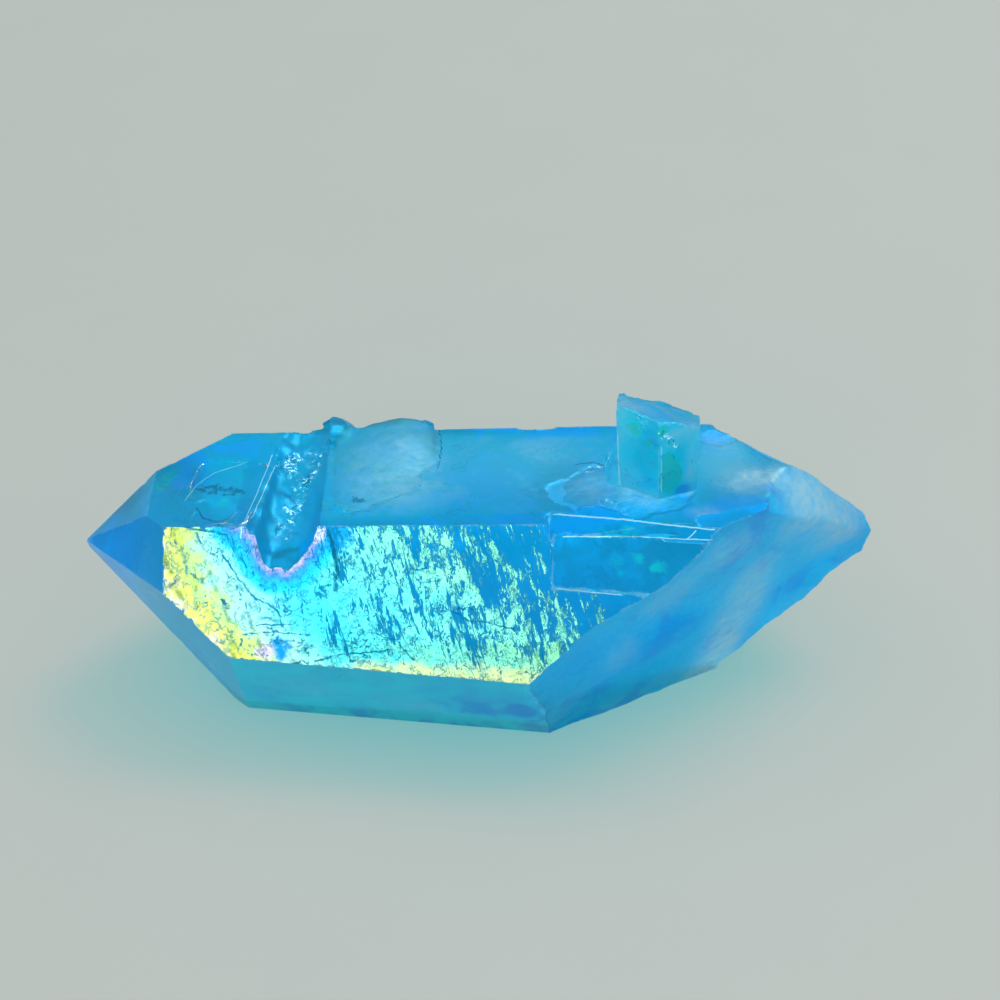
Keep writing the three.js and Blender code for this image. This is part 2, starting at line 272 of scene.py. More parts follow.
GREENS = (
    (Spot(12.7, -1.6, 0.5, 1.2, 13.3, 0.9), 1.5),
    (Spot(13.0, -1.5, 0.9, 1.2, 11.9, 1.5), 1.7),
    (Spot(10.2, -1.1, 0.55, 1.2, 15.7, 0.55), 1.6),
    (Spot(12.1, -1.3, 0.5, 1.2, 16.0, 0.6), 1.4),
    (Spot(11.3, -1.5, 0.35, 1.2, 14.9, 0.35), 1.2),
    (Spot(10.8, -5.8, 2.8, 2, 7.2, 1.2), 0.45),
    (Spot(9.2, -4.6, 3.4, 1.5, 9.4, 0.8), 0.4),
    (Spot(-24.6, 2.3, 1.2, 2.6), 0.6),
    (Spot(-20, -1.2, 1.6, 1.8), 0.45),
)
"""Where the coat turns green, and by how much."""
CRUMBS = (
    Crack(((-13.7, 6.7), (-13.9, 4.4), (-14.5, 2.4), (-15.2, -2.2)), 0.9),
    Crack(((-15.3, 5.8), (-15.8, 4.4)), 1.1),
    Crack(((6.8, 2.6), (8.3, 3.2)), 0.8),
    Crack(((7.6, -1.6), (9.8, -3.0)), 0.6),
    Crack(((17.4, -2.9), (18.4, -2.8)), 0.6),
)
# Where loose crumbs lie, with painted glints and painted shade beside them, seen from above.
"""Where loose crumbs glitter, seen from above."""
STUMP_CRUMBS = (Crack(((10.7, 14.0), (10.9, 13.2)), 0.5), Crack(((12.2, 12.7), (13.2, 12.0)), 0.5))
# Where they lie on the stump, with painted glints, seen square to the large front face.
"""Where they glitter on the stump, seen square to the large front face."""
DRIFTS = ((0.12, HAZES), (0.3, DEPTHS), (0.0, GREENS))


@dataclass(frozen=True)
class Finish:
    """How one kind of surface looks.

    tone is the coat's colour, partly painted light and shade, frost how much of it is whitened, and roughness
    how dull it is. cell is the size of the mesh cells, and streaks, grit, hillocks and sparkle say how much
    of each relief it has; sparkle also says how much painted glint and shade its crumbs get.
    rainbow says how much it shimmers, wear how often its points are smoothed, and soft_border that those on
    its border are too.
    """

    tone: Colour
    roughness: float
    frost: float
    cell: float
    streaks: float = 0.0
    grit: float = 0.0
    hillocks: float = 0.0
    rainbow: float = 0.0
    sparkle: float = 0.0
    wear: int = 0
    soft_border: bool = False


# Tones are partly painted light: the top darker, the lower front, broken face and stump sides lighter.
FINISHES: dict[Zone, Finish] = {
    Zone.RAINBOW: Finish((0.0, 0.25, 0.54), 0.3, 0.05, 0.24, streaks=1.0, rainbow=1.0),
    Zone.TOP: Finish((0.0, 0.38, 0.54), 0.34, 0.75, 0.42, hillocks=0.6),
    Zone.LOWER_FRONT: Finish((0.0, 0.90, 1.0), 0.16, 0.9, 0.42, hillocks=0.3),
    Zone.RESTING: Finish((0.02, 0.66, 0.94), 0.3, 0.3, 1.2),
    Zone.LOWER_BACK: Finish((0.02, 0.66, 0.94), 0.2, 0.35, 0.5, streaks=0.4, hillocks=0.4),
    Zone.UPPER_BACK: Finish((0.02, 0.64, 0.94), 0.2, 0.35, 0.5, streaks=0.5, hillocks=0.4),
    Zone.POINT_TOP: Finish((0.0, 0.34, 0.52), 0.3, 0.55, 0.4, hillocks=0.4),
    Zone.POINT_FRONT: Finish((0.0, 0.27, 0.64), 0.35, 0.3, 0.4, hillocks=0.2),
    Zone.POINT_LOWER: Finish((0.0, 0.57, 0.9), 0.2, 0.4, 0.4, hillocks=0.2),
    Zone.POINT_BOTTOM: Finish((0.02, 0.55, 0.9), 0.2, 0.2, 0.7, hillocks=0.3),
    Zone.POINT_LOWER_BACK: Finish((0.02, 0.54, 0.92), 0.15, 0.2, 0.6, hillocks=0.3),
    Zone.POINT_UPPER_BACK: Finish((0.02, 0.56, 0.94), 0.15, 0.2, 0.6, hillocks=0.3),
    Zone.RIDGE: Finish((0.0, 0.29, 0.50), 0.35, 0.1, 0.2, streaks=0.3),
    Zone.RECESS: Finish((0.0, 0.17, 0.36), 0.3, 0.05, 0.3, hillocks=0.15),
    Zone.BREAK: Finish((0.0, 0.58, 0.95), 0.45, 0.75, 0.36, grit=1.0, wear=20),
    Zone.CHANNEL: Finish((0.0, 0.30, 0.46), 0.32, 0.25, 0.2, grit=0.45, hillocks=0.4, sparkle=1.0, wear=8),
    Zone.PATCH: Finish((0.02, 0.32, 0.39), 0.5, 0.75, 0.26, grit=0.6, wear=14),
    Zone.STUMP_SIDE: Finish((0.0, 0.80, 1.0), 0.42, 0.5, 0.22, hillocks=0.4, sparkle=0.8),
    Zone.STUMP_BREAK: Finish(
        (0.0, 0.56, 0.78), 0.3, 0.6, 0.2, grit=1.2, sparkle=0.6, wear=9, soft_border=True
    ),
    Zone.RUBBLE: Finish((0.0, 0.38, 0.55), 0.36, 0.65, 0.24, grit=1.0, hillocks=0.3, sparkle=0.6, wear=60),
    Zone.BOWL: Finish((0.0, 0.42, 0.62), 0.2, 0.3, 0.24, hillocks=0.4, grit=0.3, wear=3),
    Zone.FLAKE: Finish((0.0, 0.28, 0.56), 0.6, 0.0, 0.26, hillocks=0.4, grit=0.3, wear=3),
}


def by_zone(name: str) -> np.ndarray:
    """One value of every finish, in the order of the kinds of surface."""
    return np.array([getattr(FINISHES[zone], name) for zone in Zone])


def distances(places: np.ndarray, spots: np.ndarray) -> np.ndarray:
    """How far each place is from the nearest of some spots."""
    tree = kdtree.KDTree(len(spots))
    for number, spot in enumerate(spots):
        tree.insert(spot, number)
    tree.balance()
    return np.array([tree.find(place)[2] for place in places])


@dataclass
class Mesh:
    """Triangles between points that are in millimetres from the axis middle.

    zones holds the kind of surface of each triangle, and flats the number of the flat piece of surface
    that it is part of, or -1.
    """

    points: np.ndarray
    corners: np.ndarray
    zones: np.ndarray
    flats: np.ndarray

    def centres(self) -> np.ndarray:
        """Middles of the triangles."""
        return self.points[self.corners].mean(axis=1)

    def crosses(self) -> np.ndarray:
        """Normals of the triangles, each as long as twice its triangle's area."""
        a, b, c = (self.points[self.corners[:, i]] for i in range(3))
        return np.cross(b - a, c - a)

    def areas(self) -> np.ndarray:
        """Areas of the triangles."""
        return np.linalg.norm(self.crosses(), axis=1) / 2

    def normals(self) -> np.ndarray:
        """Unit normals of the triangles."""
        across = self.crosses()
        return across / np.maximum(np.linalg.norm(across, axis=1, keepdims=True), TINY)

    def heights(self) -> np.ndarray:
        """Heights of the triangles over their longest sides."""
        ends = self.points[self.corners]
        longest = np.linalg.norm(np.roll(ends, -1, axis=1) - ends, axis=2).max(axis=1)
        return 2 * self.areas() / np.maximum(longest, TINY)

    def edges(self) -> tuple[np.ndarray, np.ndarray]:
        """Every edge once, and which edge each side of each triangle is.

        Returns:
            Pairs of points, and edge numbers shaped like corners: side i runs from corner i to the next.
        """
        sides = np.stack((self.corners, np.roll(self.corners, -1, axis=1)), axis=2)
        sides.sort(axis=2)
        keys = sides[..., 0].astype(np.int64) * len(self.points) + sides[..., 1]
        found, where = np.unique(keys.ravel(), return_inverse=True)
        pairs = np.stack((found // len(self.points), found % len(self.points)), axis=1)
        return pairs, where.reshape(-1, 3)

    def split(self, chosen: np.ndarray, pairs: np.ndarray, sides: np.ndarray) -> Mesh:
        """Cuts the chosen edges at their middles and the triangles on them to fit.

        Args:
            chosen: whether each edge is cut.
            pairs: the points of each edge.
            sides: the edge that each side of each triangle is.

        Returns:
            The finer mesh. It stays closed.
        """
        added = np.full(len(pairs), -1)
        added[chosen] = len(self.points) + np.arange(chosen.sum())
        points = np.vstack((self.points, self.points[pairs[chosen]].mean(axis=1)))
        middle = added[sides]
        count = (middle >= 0).sum(axis=1)
        turn = np.where(count == 1, np.argmax(middle >= 0, axis=1), 0)
        turn = np.where(count == 2, (np.argmin(middle, axis=1) + 1) % 3, turn)
        order = (turn[:, None] + np.arange(3)) % 3
        a, b, c = np.take_along_axis(self.corners, order, axis=1).T
        p, q, r = np.take_along_axis(middle, order, axis=1).T
        near = np.linalg.norm(points[a] - points[q], axis=1) < np.linalg.norm(points[p] - points[c], axis=1)
        pieces = []
        kept = []
        for fits, made in (
            (count == 0, ((a, b, c),)),
            (count == 1, ((a, p, c), (p, b, c))),
            ((count == 2) & near, ((p, b, q), (a, p, q), (a, q, c))),
            ((count == 2) & ~near, ((p, b, q), (a, p, c), (p, q, c))),
            (count == 3, ((a, p, r), (p, b, q), (r, q, c), (p, q, r))),
        ):
            for triple in made:
                pieces.append(np.stack(triple, axis=1)[fits])
                kept.append(np.flatnonzero(fits))
        sources = np.concatenate(kept)
        return Mesh(points, np.vstack(pieces), self.zones[sources], self.flats[sources])


@dataclass
class QuartzCrystal:
    """The whole crystal: one closed piece of coated quartz.

    The depths and sizes of its marks are in millimetres.
    """

    streak_depth: float = 0.03
    grit_depth: float = 0.22
    grit_size: float = 1.6
    hillock_depth: float = 0.07
    hillock_size: float = 1.5
    nick_depth: float = 0.05
    seed: int = 11
    sharp_from: float = 22.0
    worn_sharp_from: float = 50.0
    foot_reach: float = 2.0
    foot_wear: int = 90
    max_cuts: int = 9
    least_flat: float = 1.6
    jitter: float = 0.22
    steepest: float = 0.3
    wear_share: float = 0.5
    most_drift: float = 1.8
    mesh: Mesh = field(init=False)
    planes: list[tuple[np.ndarray, float]] = field(init=False)

    def build(self, material: bpy.types.Material) -> bpy.types.Object:
        """Makes the finished piece.

        Args:
            material: what covers it.

        Returns:
            The crystal's object, with its place in its mesh.
        """
        self.mesh = self.sort_zones(self.solid_mesh())
        self.cut_cells()
        self.refill_flats()
        self.wear_down()
        piece = self.to_object()
        self.add_relief(piece, material)
        LOG.info("%s: %d triangles", piece.name, len(piece.data.polygons))
        return piece

    def add_relief(self, piece: bpy.types.Object, material: bpy.types.Material) -> None:
        """Sinks growth marks and breakage in with a Geometry Nodes tree, and keeps the plain result.

        Args:
            piece: the crystal's object.
            material: what the tree covers it with.
        """
        modifier = piece.modifiers.new("fine relief", "NODES")
        modifier.node_group = relief_tree(material)
        sizes = {
            "Streak Depth": self.streak_depth,
            "Grit Depth": self.grit_depth,
            "Grit Size": self.grit_size,
            "Hillock Depth": self.hillock_depth,
            "Hillock Size": self.hillock_size,
            "Nick Depth": self.nick_depth,
            "Seed": self.seed,
        }
        for socket in modifier.node_group.interface.items_tree:
            if socket.name in sizes:
                modifier[socket.identifier] = sizes[socket.name]
        bpy.context.view_layer.update()
        seen = piece.evaluated_get(bpy.context.evaluated_depsgraph_get())
        plain = bpy.data.meshes.new_from_object(seen)
        piece.modifiers.remove(modifier)
        old = piece.data
        piece.data = plain
        bpy.data.meshes.remove(old)
        plain.name = PIECE_NAME

    def solid_mesh(self) -> Mesh:
        """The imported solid's triangles, joined at their corners."""
        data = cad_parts[NODE_NAME].data
        coords = np.empty(len(data.vertices) * 3)
        data.vertices.foreach_get("co", coords)
        loose = coords.reshape(-1, 3)
        keys = np.round(loose / SAME_POINT).astype(np.int64)
        _, first, joined = np.unique(keys, axis=0, return_index=True, return_inverse=True)
        points = loose[first] / MM - np.array(AXIS_MIDDLE)
        data.calc_loop_triangles()
        corners = np.empty(len(data.loop_triangles) * 3, dtype=np.int64)
        data.loop_triangles.foreach_get("vertices", corners)
        corners = joined.ravel()[corners].reshape(-1, 3)
        blank = np.full(len(corners), -1)
        return Mesh(points, corners, blank.copy(), blank)

    def sort_zones(self, mesh: Mesh) -> Mesh:
        """Finds the kind of surface of each triangle from where it lies and faces."""
        centres, normals = mesh.centres(), mesh.normals()
        top_rise = FACETS[Zone.TOP].rise(centres)
        zones = np.full(len(centres), int(Zone.BOWL))
        zones[centres[:, 0] > BREAK_FROM_X] = Zone.BREAK
        for zone, spot, lowest, fits in (
            (Zone.CHANNEL, CHANNEL_SPOT, -CHANNEL_DEPTH, True),
            (Zone.PATCH, PATCH_SPOT, RAISED, True),
            (Zone.RUBBLE, RUBBLE_SPOT, RAISED, True),
            (Zone.FLAKE, FLAKE_SPOT, -FLAKE_DEPTH, normals[:, 2] > FLAKE_LEVEL),
            (Zone.STUMP_SIDE, STUMP_SPOT, STUMP_RISES, True),
            (Zone.STUMP_BREAK, STUMP_SPOT, STUMP_RISES, normals @ STUMP_TOP.normal() > STUMP_TOP_ALIKE),
        ):
            zones[(spot.reach(centres) < 1) & (top_rise > lowest) & fits] = zone
        slim = mesh.heights() < SLIVER
        for zone, facet in FACETS.items():
            off = np.abs(facet.rise(mesh.points[mesh.corners])).max(axis=1)
            zones[(off < ON_PLANE) & (slim | (normals @ facet.normal() > ALIKE))] = zone
        mesh.zones = zones
        self.find_flats(mesh)
        return mesh

    def find_flats(self, mesh: Mesh) -> None:
        """Numbers the flat pieces of surface, each on one plane and of one kind."""
        centres, normals, areas = mesh.centres(), mesh.normals(), mesh.areas()
        slim = mesh.heights() < SLIVER
        self.planes = []
        for zone in (*FACETS, Zone.STUMP_SIDE, Zone.RUBBLE, Zone.BREAK, Zone.FLAKE):
            for start in np.argsort(-areas):
                if mesh.zones[start] != zone or mesh.flats[start] >= 0:
                    continue
                if areas[start] < self.least_flat / 3:
                    break
                normal = normals[start]
                distance = float(centres[start] @ normal)
                off = np.abs(mesh.points[mesh.corners] @ normal - distance).max(axis=1)
                on = (off < ON_PLANE) & (slim | (normals @ normal > ALIKE))
                on &= (mesh.zones == zone) & (mesh.flats < 0)
                if areas[on].sum() > self.least_flat:
                    mesh.flats[on] = len(self.planes)
                    self.planes.append((normal, distance))

    def cut_cells(self) -> None:
        """Cuts every edge that is too long for its surface, apart from those inside flat faces."""
        cells = by_zone("cell")
        for _ in range(self.max_cuts):
            pairs, sides = self.mesh.edges()
            limit = np.full(len(pairs), np.inf)
            np.minimum.at(limit, sides, cells[self.mesh.zones][:, None])
            low = np.full(len(pairs), len(self.planes))
            high = np.full(len(pairs), -1)
            np.minimum.at(low, sides, self.mesh.flats[:, None])
            np.maximum.at(high, sides, self.mesh.flats[:, None])
            inside_flat = (low == high) & (low >= 0)
            ends = self.mesh.points[pairs]
            length = np.linalg.norm(ends[:, 0] - ends[:, 1], axis=1)
            chosen = (length > limit) & ~inside_flat
            if not chosen.any():
                break
            self.mesh = self.mesh.split(chosen, pairs, sides)

    def refill_flats(self) -> None:
        """Fills each flat piece of surface again with even cells between its borders."""
        rng = np.random.default_rng(self.seed)
        for number in range(len(self.planes)):
            self.refill(number, rng)
        used, corners = np.unique(self.mesh.corners, return_inverse=True)
        points = self.mesh.points[used]
        self.mesh = Mesh(points, corners.reshape(-1, 3), self.mesh.zones, self.mesh.flats)

    def refill(self, flat_number: int, rng: np.random.Generator) -> None:
        """Puts even triangles in place of one flat piece's long ones.

        Args:
            flat_number: which flat piece.
            rng: where the unevenness of the cells comes from.
        """
        inside = self.mesh.flats == flat_number
        zone = Zone(self.mesh.zones[inside][0])
        normal, distance = self.planes[flat_number]
        along = np.array((1.0, 0.0, 0.0)) - normal[0] * normal
        if np.linalg.norm(along) < self.steepest:
            along = np.array((0.0, 1.0, 0.0)) - normal[1] * normal
        along /= np.linalg.norm(along)
        across = np.cross(normal, along)
        old = self.mesh.corners[inside]
        sides = np.stack((old, np.roll(old, -1, axis=1)), axis=2).reshape(-1, 2)
        keys = np.sort(sides, axis=1) @ np.array((len(self.mesh.points), 1))
        _, first, times = np.unique(keys, return_index=True, return_counts=True)
        owners = np.flatnonzero(inside)[first[times == 1] // 3]
        border = sides[first[times == 1]]
        used, border = np.unique(border, return_inverse=True)
        border = border.reshape(-1, 2)
        flat = np.stack((self.mesh.points[used] @ along, self.mesh.points[used] @ across), axis=1)
        seeds = self.lattice(flat, border, FINISHES[zone].cell, rng)
        spread = np.vstack((flat, seeds))
        lines = [tuple(map(int, pair)) for pair in border]
        whole, near = 0, 1e-7
        filled = geometry.delaunay_2d_cdt([Vector(p) for p in spread], lines, [], whole, near, True)
        flat_points = np.array([tuple(p) for p in filled[0]])
        origins = filled[3]
        crossings = [point for point, sources in zip(flat_points, origins) if not sources]
        if crossings:
            self.loosen(crossings[0], flat[border], owners)
            self.refill(flat_number, rng)
            return
        placed = np.zeros(len(spread), dtype=np.int64)
        for number, sources in enumerate(origins):
            placed[sources] = number
        triangles = self.enclosed(flat_points, np.array([tuple(f) for f in filled[2]]), placed[border])
        added = flat_points[:, :1] * along + flat_points[:, 1:] * across + distance * normal
        numbers = len(self.mesh.points) + np.arange(len(flat_points))
        for number, sources in enumerate(origins):
            known = [s for s in sources if s < len(used)]
            if known:
                numbers[number] = used[known[0]]
        self.mesh = Mesh(
            np.vstack((self.mesh.points, added)),
            np.vstack((self.mesh.corners[~inside], numbers[triangles])),
            np.concatenate((self.mesh.zones[~inside], np.full(len(triangles), int(zone)))),
            np.concatenate((self.mesh.flats[~inside], np.full(len(triangles), flat_number))),
        )

    def loosen(self, crossing: np.ndarray, border: np.ndarray, owners: np.ndarray) -> None:
        """Takes the smallest triangle whose border runs through a crossing out of its flat piece.

        Args:
            crossing: where two border lines cross on the piece's plane.
            border: the ends of each border line on that plane.
            owners: the triangle beside each border line.
        """
        reach = border[:, 1] - border[:, 0]
        share = ((crossing - border[:, 0]) * reach).sum(axis=1) / (reach * reach).sum(axis=1)
        nearest = border[:, 0] + np.clip(share, 0, 1)[:, None] * reach
        near = np.argsort(np.linalg.norm(nearest - crossing, axis=1))[:2]
        heights = self.mesh.heights()
        self.mesh.flats[min(owners[near], key=lambda number: heights[number])] = -1

    def enclosed(self, flat: np.ndarray, triangles: np.ndarray, border: np.ndarray) -> np.ndarray:
        """Keeps the triangles that lie inside a border.

        Args:
            flat: points on the face's plane.
            triangles: triangles between them that fill their whole outline.
            border: pairs of points. No triangle crosses them.

        Returns:
            The triangles inside, each turned the same way round.
        """
        span = len(flat)
        sides = np.sort(np.stack((triangles, np.roll(triangles, -1, axis=1)), axis=2), axis=2)
        keys = sides[..., 0] * span + sides[..., 1]
        walls = np.isin(keys, np.sort(border, axis=1) @ np.array((span, 1)))
        beside: dict[int, list[int]] = {}
        for number, key in zip(np.argwhere(~walls)[:, 0].tolist(), keys[~walls].tolist()):
            beside.setdefault(key, []).append(number)
        a, b, c = (flat[triangles[:, i]] for i in range(3))
        area = (b[:, 0] - a[:, 0]) * (c[:, 1] - a[:, 1]) - (b[:, 1] - a[:, 1]) * (c[:, 0] - a[:, 0])
        within = self.within((a + b + c) / 3, flat[border])
        kept = np.zeros(len(triangles), dtype=bool)
        seen = np.zeros(len(triangles), dtype=bool)
        for start in np.argsort(-np.abs(area)):
            if seen[start]:
                continue
            seen[start] = True
            patch = [start]
            for number in patch:
                for key in keys[number][~walls[number]].tolist():
                    for other in beside[key]:
                        if not seen[other]:
                            seen[other] = True
                            patch.append(other)
            kept[patch] = within[start]
        triangles[area < 0] = triangles[area < 0][:, ::-1]
        return triangles[kept]

    def lattice(
        self, flat: np.ndarray, border: np.ndarray, cell: float, rng: np.random.Generator
    ) -> np.ndarray:
        """Uneven grid points inside a flat face.

        Args:
            flat: the border's points on the face's plane.
            border: pairs of them.
            cell: how far apart the grid points are.
            rng: where the unevenness comes from.

        Returns:
            The points that lie inside and clear of the border.
        """
        low, high = flat.min(axis=0), flat.max(axis=0)
        rows = np.arange(low[1], high[1], cell * ROW_RISE)
        columns = np.arange(low[0], high[0], cell)
        x, y = np.meshgrid(columns, rows)
        x[1::2] += cell / 2
        points = np.stack((x.ravel(), y.ravel()), axis=1)
        points += rng.uniform(-self.jitter, self.jitter, points.shape) * cell
        points = points[self.within(points, flat[border])]
        gaps = distances(np.pad(points, ((0, 0), (0, 1))), np.pad(flat, ((0, 0), (0, 1))))
        return points[gaps > cell * CLEAR_SHARE]

    @staticmethod
    def within(points: np.ndarray, border: np.ndarray) -> np.ndarray:
        """Whether points on a plane lie inside a border of line pieces."""
        inside = np.zeros(len(points), dtype=bool)
        for (x0, y0), (x1, y1) in border:
            if y0 == y1:
                continue
            crossing = (points[:, 1] > min(y0, y1)) & (points[:, 1] <= max(y0, y1))
            at = x0 + (points[:, 1] - y0) * (x1 - x0) / (y1 - y0)
            inside ^= crossing & (points[:, 0] < at)
        return inside

    def wear_down(self) -> None:
        """Rounds the cut steps of the rough surfaces by moving points towards their neighbours."""
        corners, zones = self.mesh.corners, self.mesh.zones
        wear = by_zone("wear")[zones][:, None]
        pairs, _ = self.mesh.edges()
        rounds = np.full(len(self.mesh.points), wear.max())
        hard = zones != Zone.TOP
        only_top = np.setdiff1d(corners[~hard], corners[hard])
        np.minimum.at(rounds, corners[hard], wear[hard])
        rounds[only_top] = 0
        soft = by_zone("soft_border")[zones]
        np.maximum.at(rounds, corners[soft], wear[soft])
        foot = np.intersect1d(corners[~hard], corners[zones == Zone.RUBBLE])
        rounds[only_top[self.distance_to(foot)[only_top] < self.foot_reach]] = self.foot_wear
        for spot, turns in WORN_CORNERS:
            near = spot.reach(self.mesh.points) < 1
            rounds[near] = np.maximum(rounds[near], turns)
        count = np.zeros(len(self.mesh.points))
        np.add.at(count, pairs.ravel(), 1)
        for turn in range(rounds.max()):
            total = np.zeros_like(self.mesh.points)
            np.add.at(total, pairs[:, 0], self.mesh.points[pairs[:, 1]])
            np.add.at(total, pairs[:, 1], self.mesh.points[pairs[:, 0]])
            moving = rounds > turn
            middle = total[moving] / count[moving][:, None]
            self.mesh.points[moving] += (middle - self.mesh.points[moving]) * self.wear_share

    def sharp_edges(self, pairs: np.ndarray, sides: np.ndarray) -> np.ndarray:
        """Which edges stay crisp.

        Args:
            pairs: the points of each edge.
            sides: the edge that each side of each triangle is.

        Returns:
            True for each edge where two faces meet at more than the angle their surfaces allow.
        """
        owners = np.repeat(np.arange(len(sides)), 3)
        order = np.argsort(sides.ravel(), kind="stable")
        first, second = owners[order[::2]], owners[order[1::2]]
        normals = self.mesh.normals()
        cosine = np.clip((normals[first] * normals[second]).sum(axis=1), -1, 1)
        worn = (by_zone("wear")[self.mesh.zones] > 0) | (self.mesh.zones == Zone.TOP)
        limit = np.where(worn[first] & worn[second], self.worn_sharp_from, self.sharp_from)
        return np.degrees(np.arccos(cosine)) > limit

    def distance_to(self, spots: np.ndarray) -> np.ndarray:
        """How far each point is from the nearest of some points, in millimetres."""
        return distances(self.mesh.points, self.mesh.points[spots])

    def to_object(self) -> bpy.types.Object:
        """Turns the cells into a Blender object, with crisp edges and the values that its relief reads."""
        pairs, sides = self.mesh.edges()
        sharp = self.sharp_edges(pairs, sides)
        placed = (self.mesh.points + np.array(AXIS_MIDDLE)) * MM
        data = bpy.data.meshes.new(PIECE_NAME)
        data.from_pydata(placed, pairs.tolist(), self.mesh.corners.tolist(), shade_flat=False)
        data.update()
        keys = {tuple(pair): number for number, pair in enumerate(pairs.tolist())}
        flags = sharp[[keys[tuple(sorted(edge.vertices))] for edge in data.edges]]
        self.store(data, "sharp_edge", "BOOLEAN", flags, "EDGE")
        self.write_marks(data, pairs, sharp)
        piece = bpy.data.objects.new(PIECE_NAME, data)
        bpy.context.scene.collection.objects.link(piece)
        return piece

    def write_marks(self, data: bpy.types.Mesh, pairs: np.ndarray, sharp: np.ndarray) -> None:
        """Stores each surface's looks and relief on the mesh, for the tree and the material to read."""
        layers = {"tone": ("tone", "sparkle"), "looks": ("roughness", "frost", "rainbow", "grit")}
        for name, kinds in layers.items():
            values = np.column_stack([by_zone(kind) for kind in kinds])[self.mesh.zones]
            self.store(data, name, "FLOAT_COLOR", values, "FACE")
        depth = np.full((len(self.mesh.points), 3), np.inf)
        for axis, kind in enumerate(("streaks", "grit", "hillocks")):
            np.minimum.at(depth[:, axis], self.mesh.corners, by_zone(kind)[self.mesh.zones][:, None])
        self.store(data, "relief", "FLOAT_VECTOR", depth)
        drifts = np.ones((len(self.mesh.points), 4))
        for channel, (start, spots) in enumerate(DRIFTS):
            amount = np.full(len(self.mesh.points), start)
            for spot, strength in spots:
                amount += strength * spot.fade(self.mesh.points)
            drifts[:, channel] = np.clip(amount, 0, self.most_drift)
        self.store(data, "drifts", "FLOAT_COLOR", drifts)
        self.store(data, "ridge", "FLOAT", self.distance_to(np.unique(pairs[sharp])))
        channel = np.unique(self.mesh.corners[self.mesh.zones == Zone.CHANNEL])
        self.store(data, "notch", "FLOAT", self.distance_to(channel))

    @staticmethod
    def store(data: bpy.types.Mesh, name: str, kind: str, values: np.ndarray, domain: str = "POINT") -> None:
        """Stores values on a mesh.

        Args:
            data: the mesh.
            name: what they are read by.
            kind: the type of each value.
            values: one for each point, edge or triangle.
            domain: which of the three.
        """
        keys = {"FLOAT": "value", "BOOLEAN": "value", "FLOAT_VECTOR": "vector", "FLOAT_COLOR": "color"}
        data.attributes.new(name, kind, domain).data.foreach_set(keys[kind], values.ravel())


# ---- Node building -----------------------------------------------------------------------------------

Socket = bpy.types.NodeSocket
Source = Socket | float | tuple
"""What a node's input can be given."""


@dataclass(frozen=True)
class Grain:
    """Smooth noise made into a mask, which goes from low to high as the noise goes from start to end.

    scale is how many bends each millimetre has.
    """

    scale: Source
    detail: float = 4.0
    roughness: float = 0.6
    twist: float = 0.0
    start: float = 0.3
    end: float = 0.7
    low: float = 0.0
    high: float = 1.0


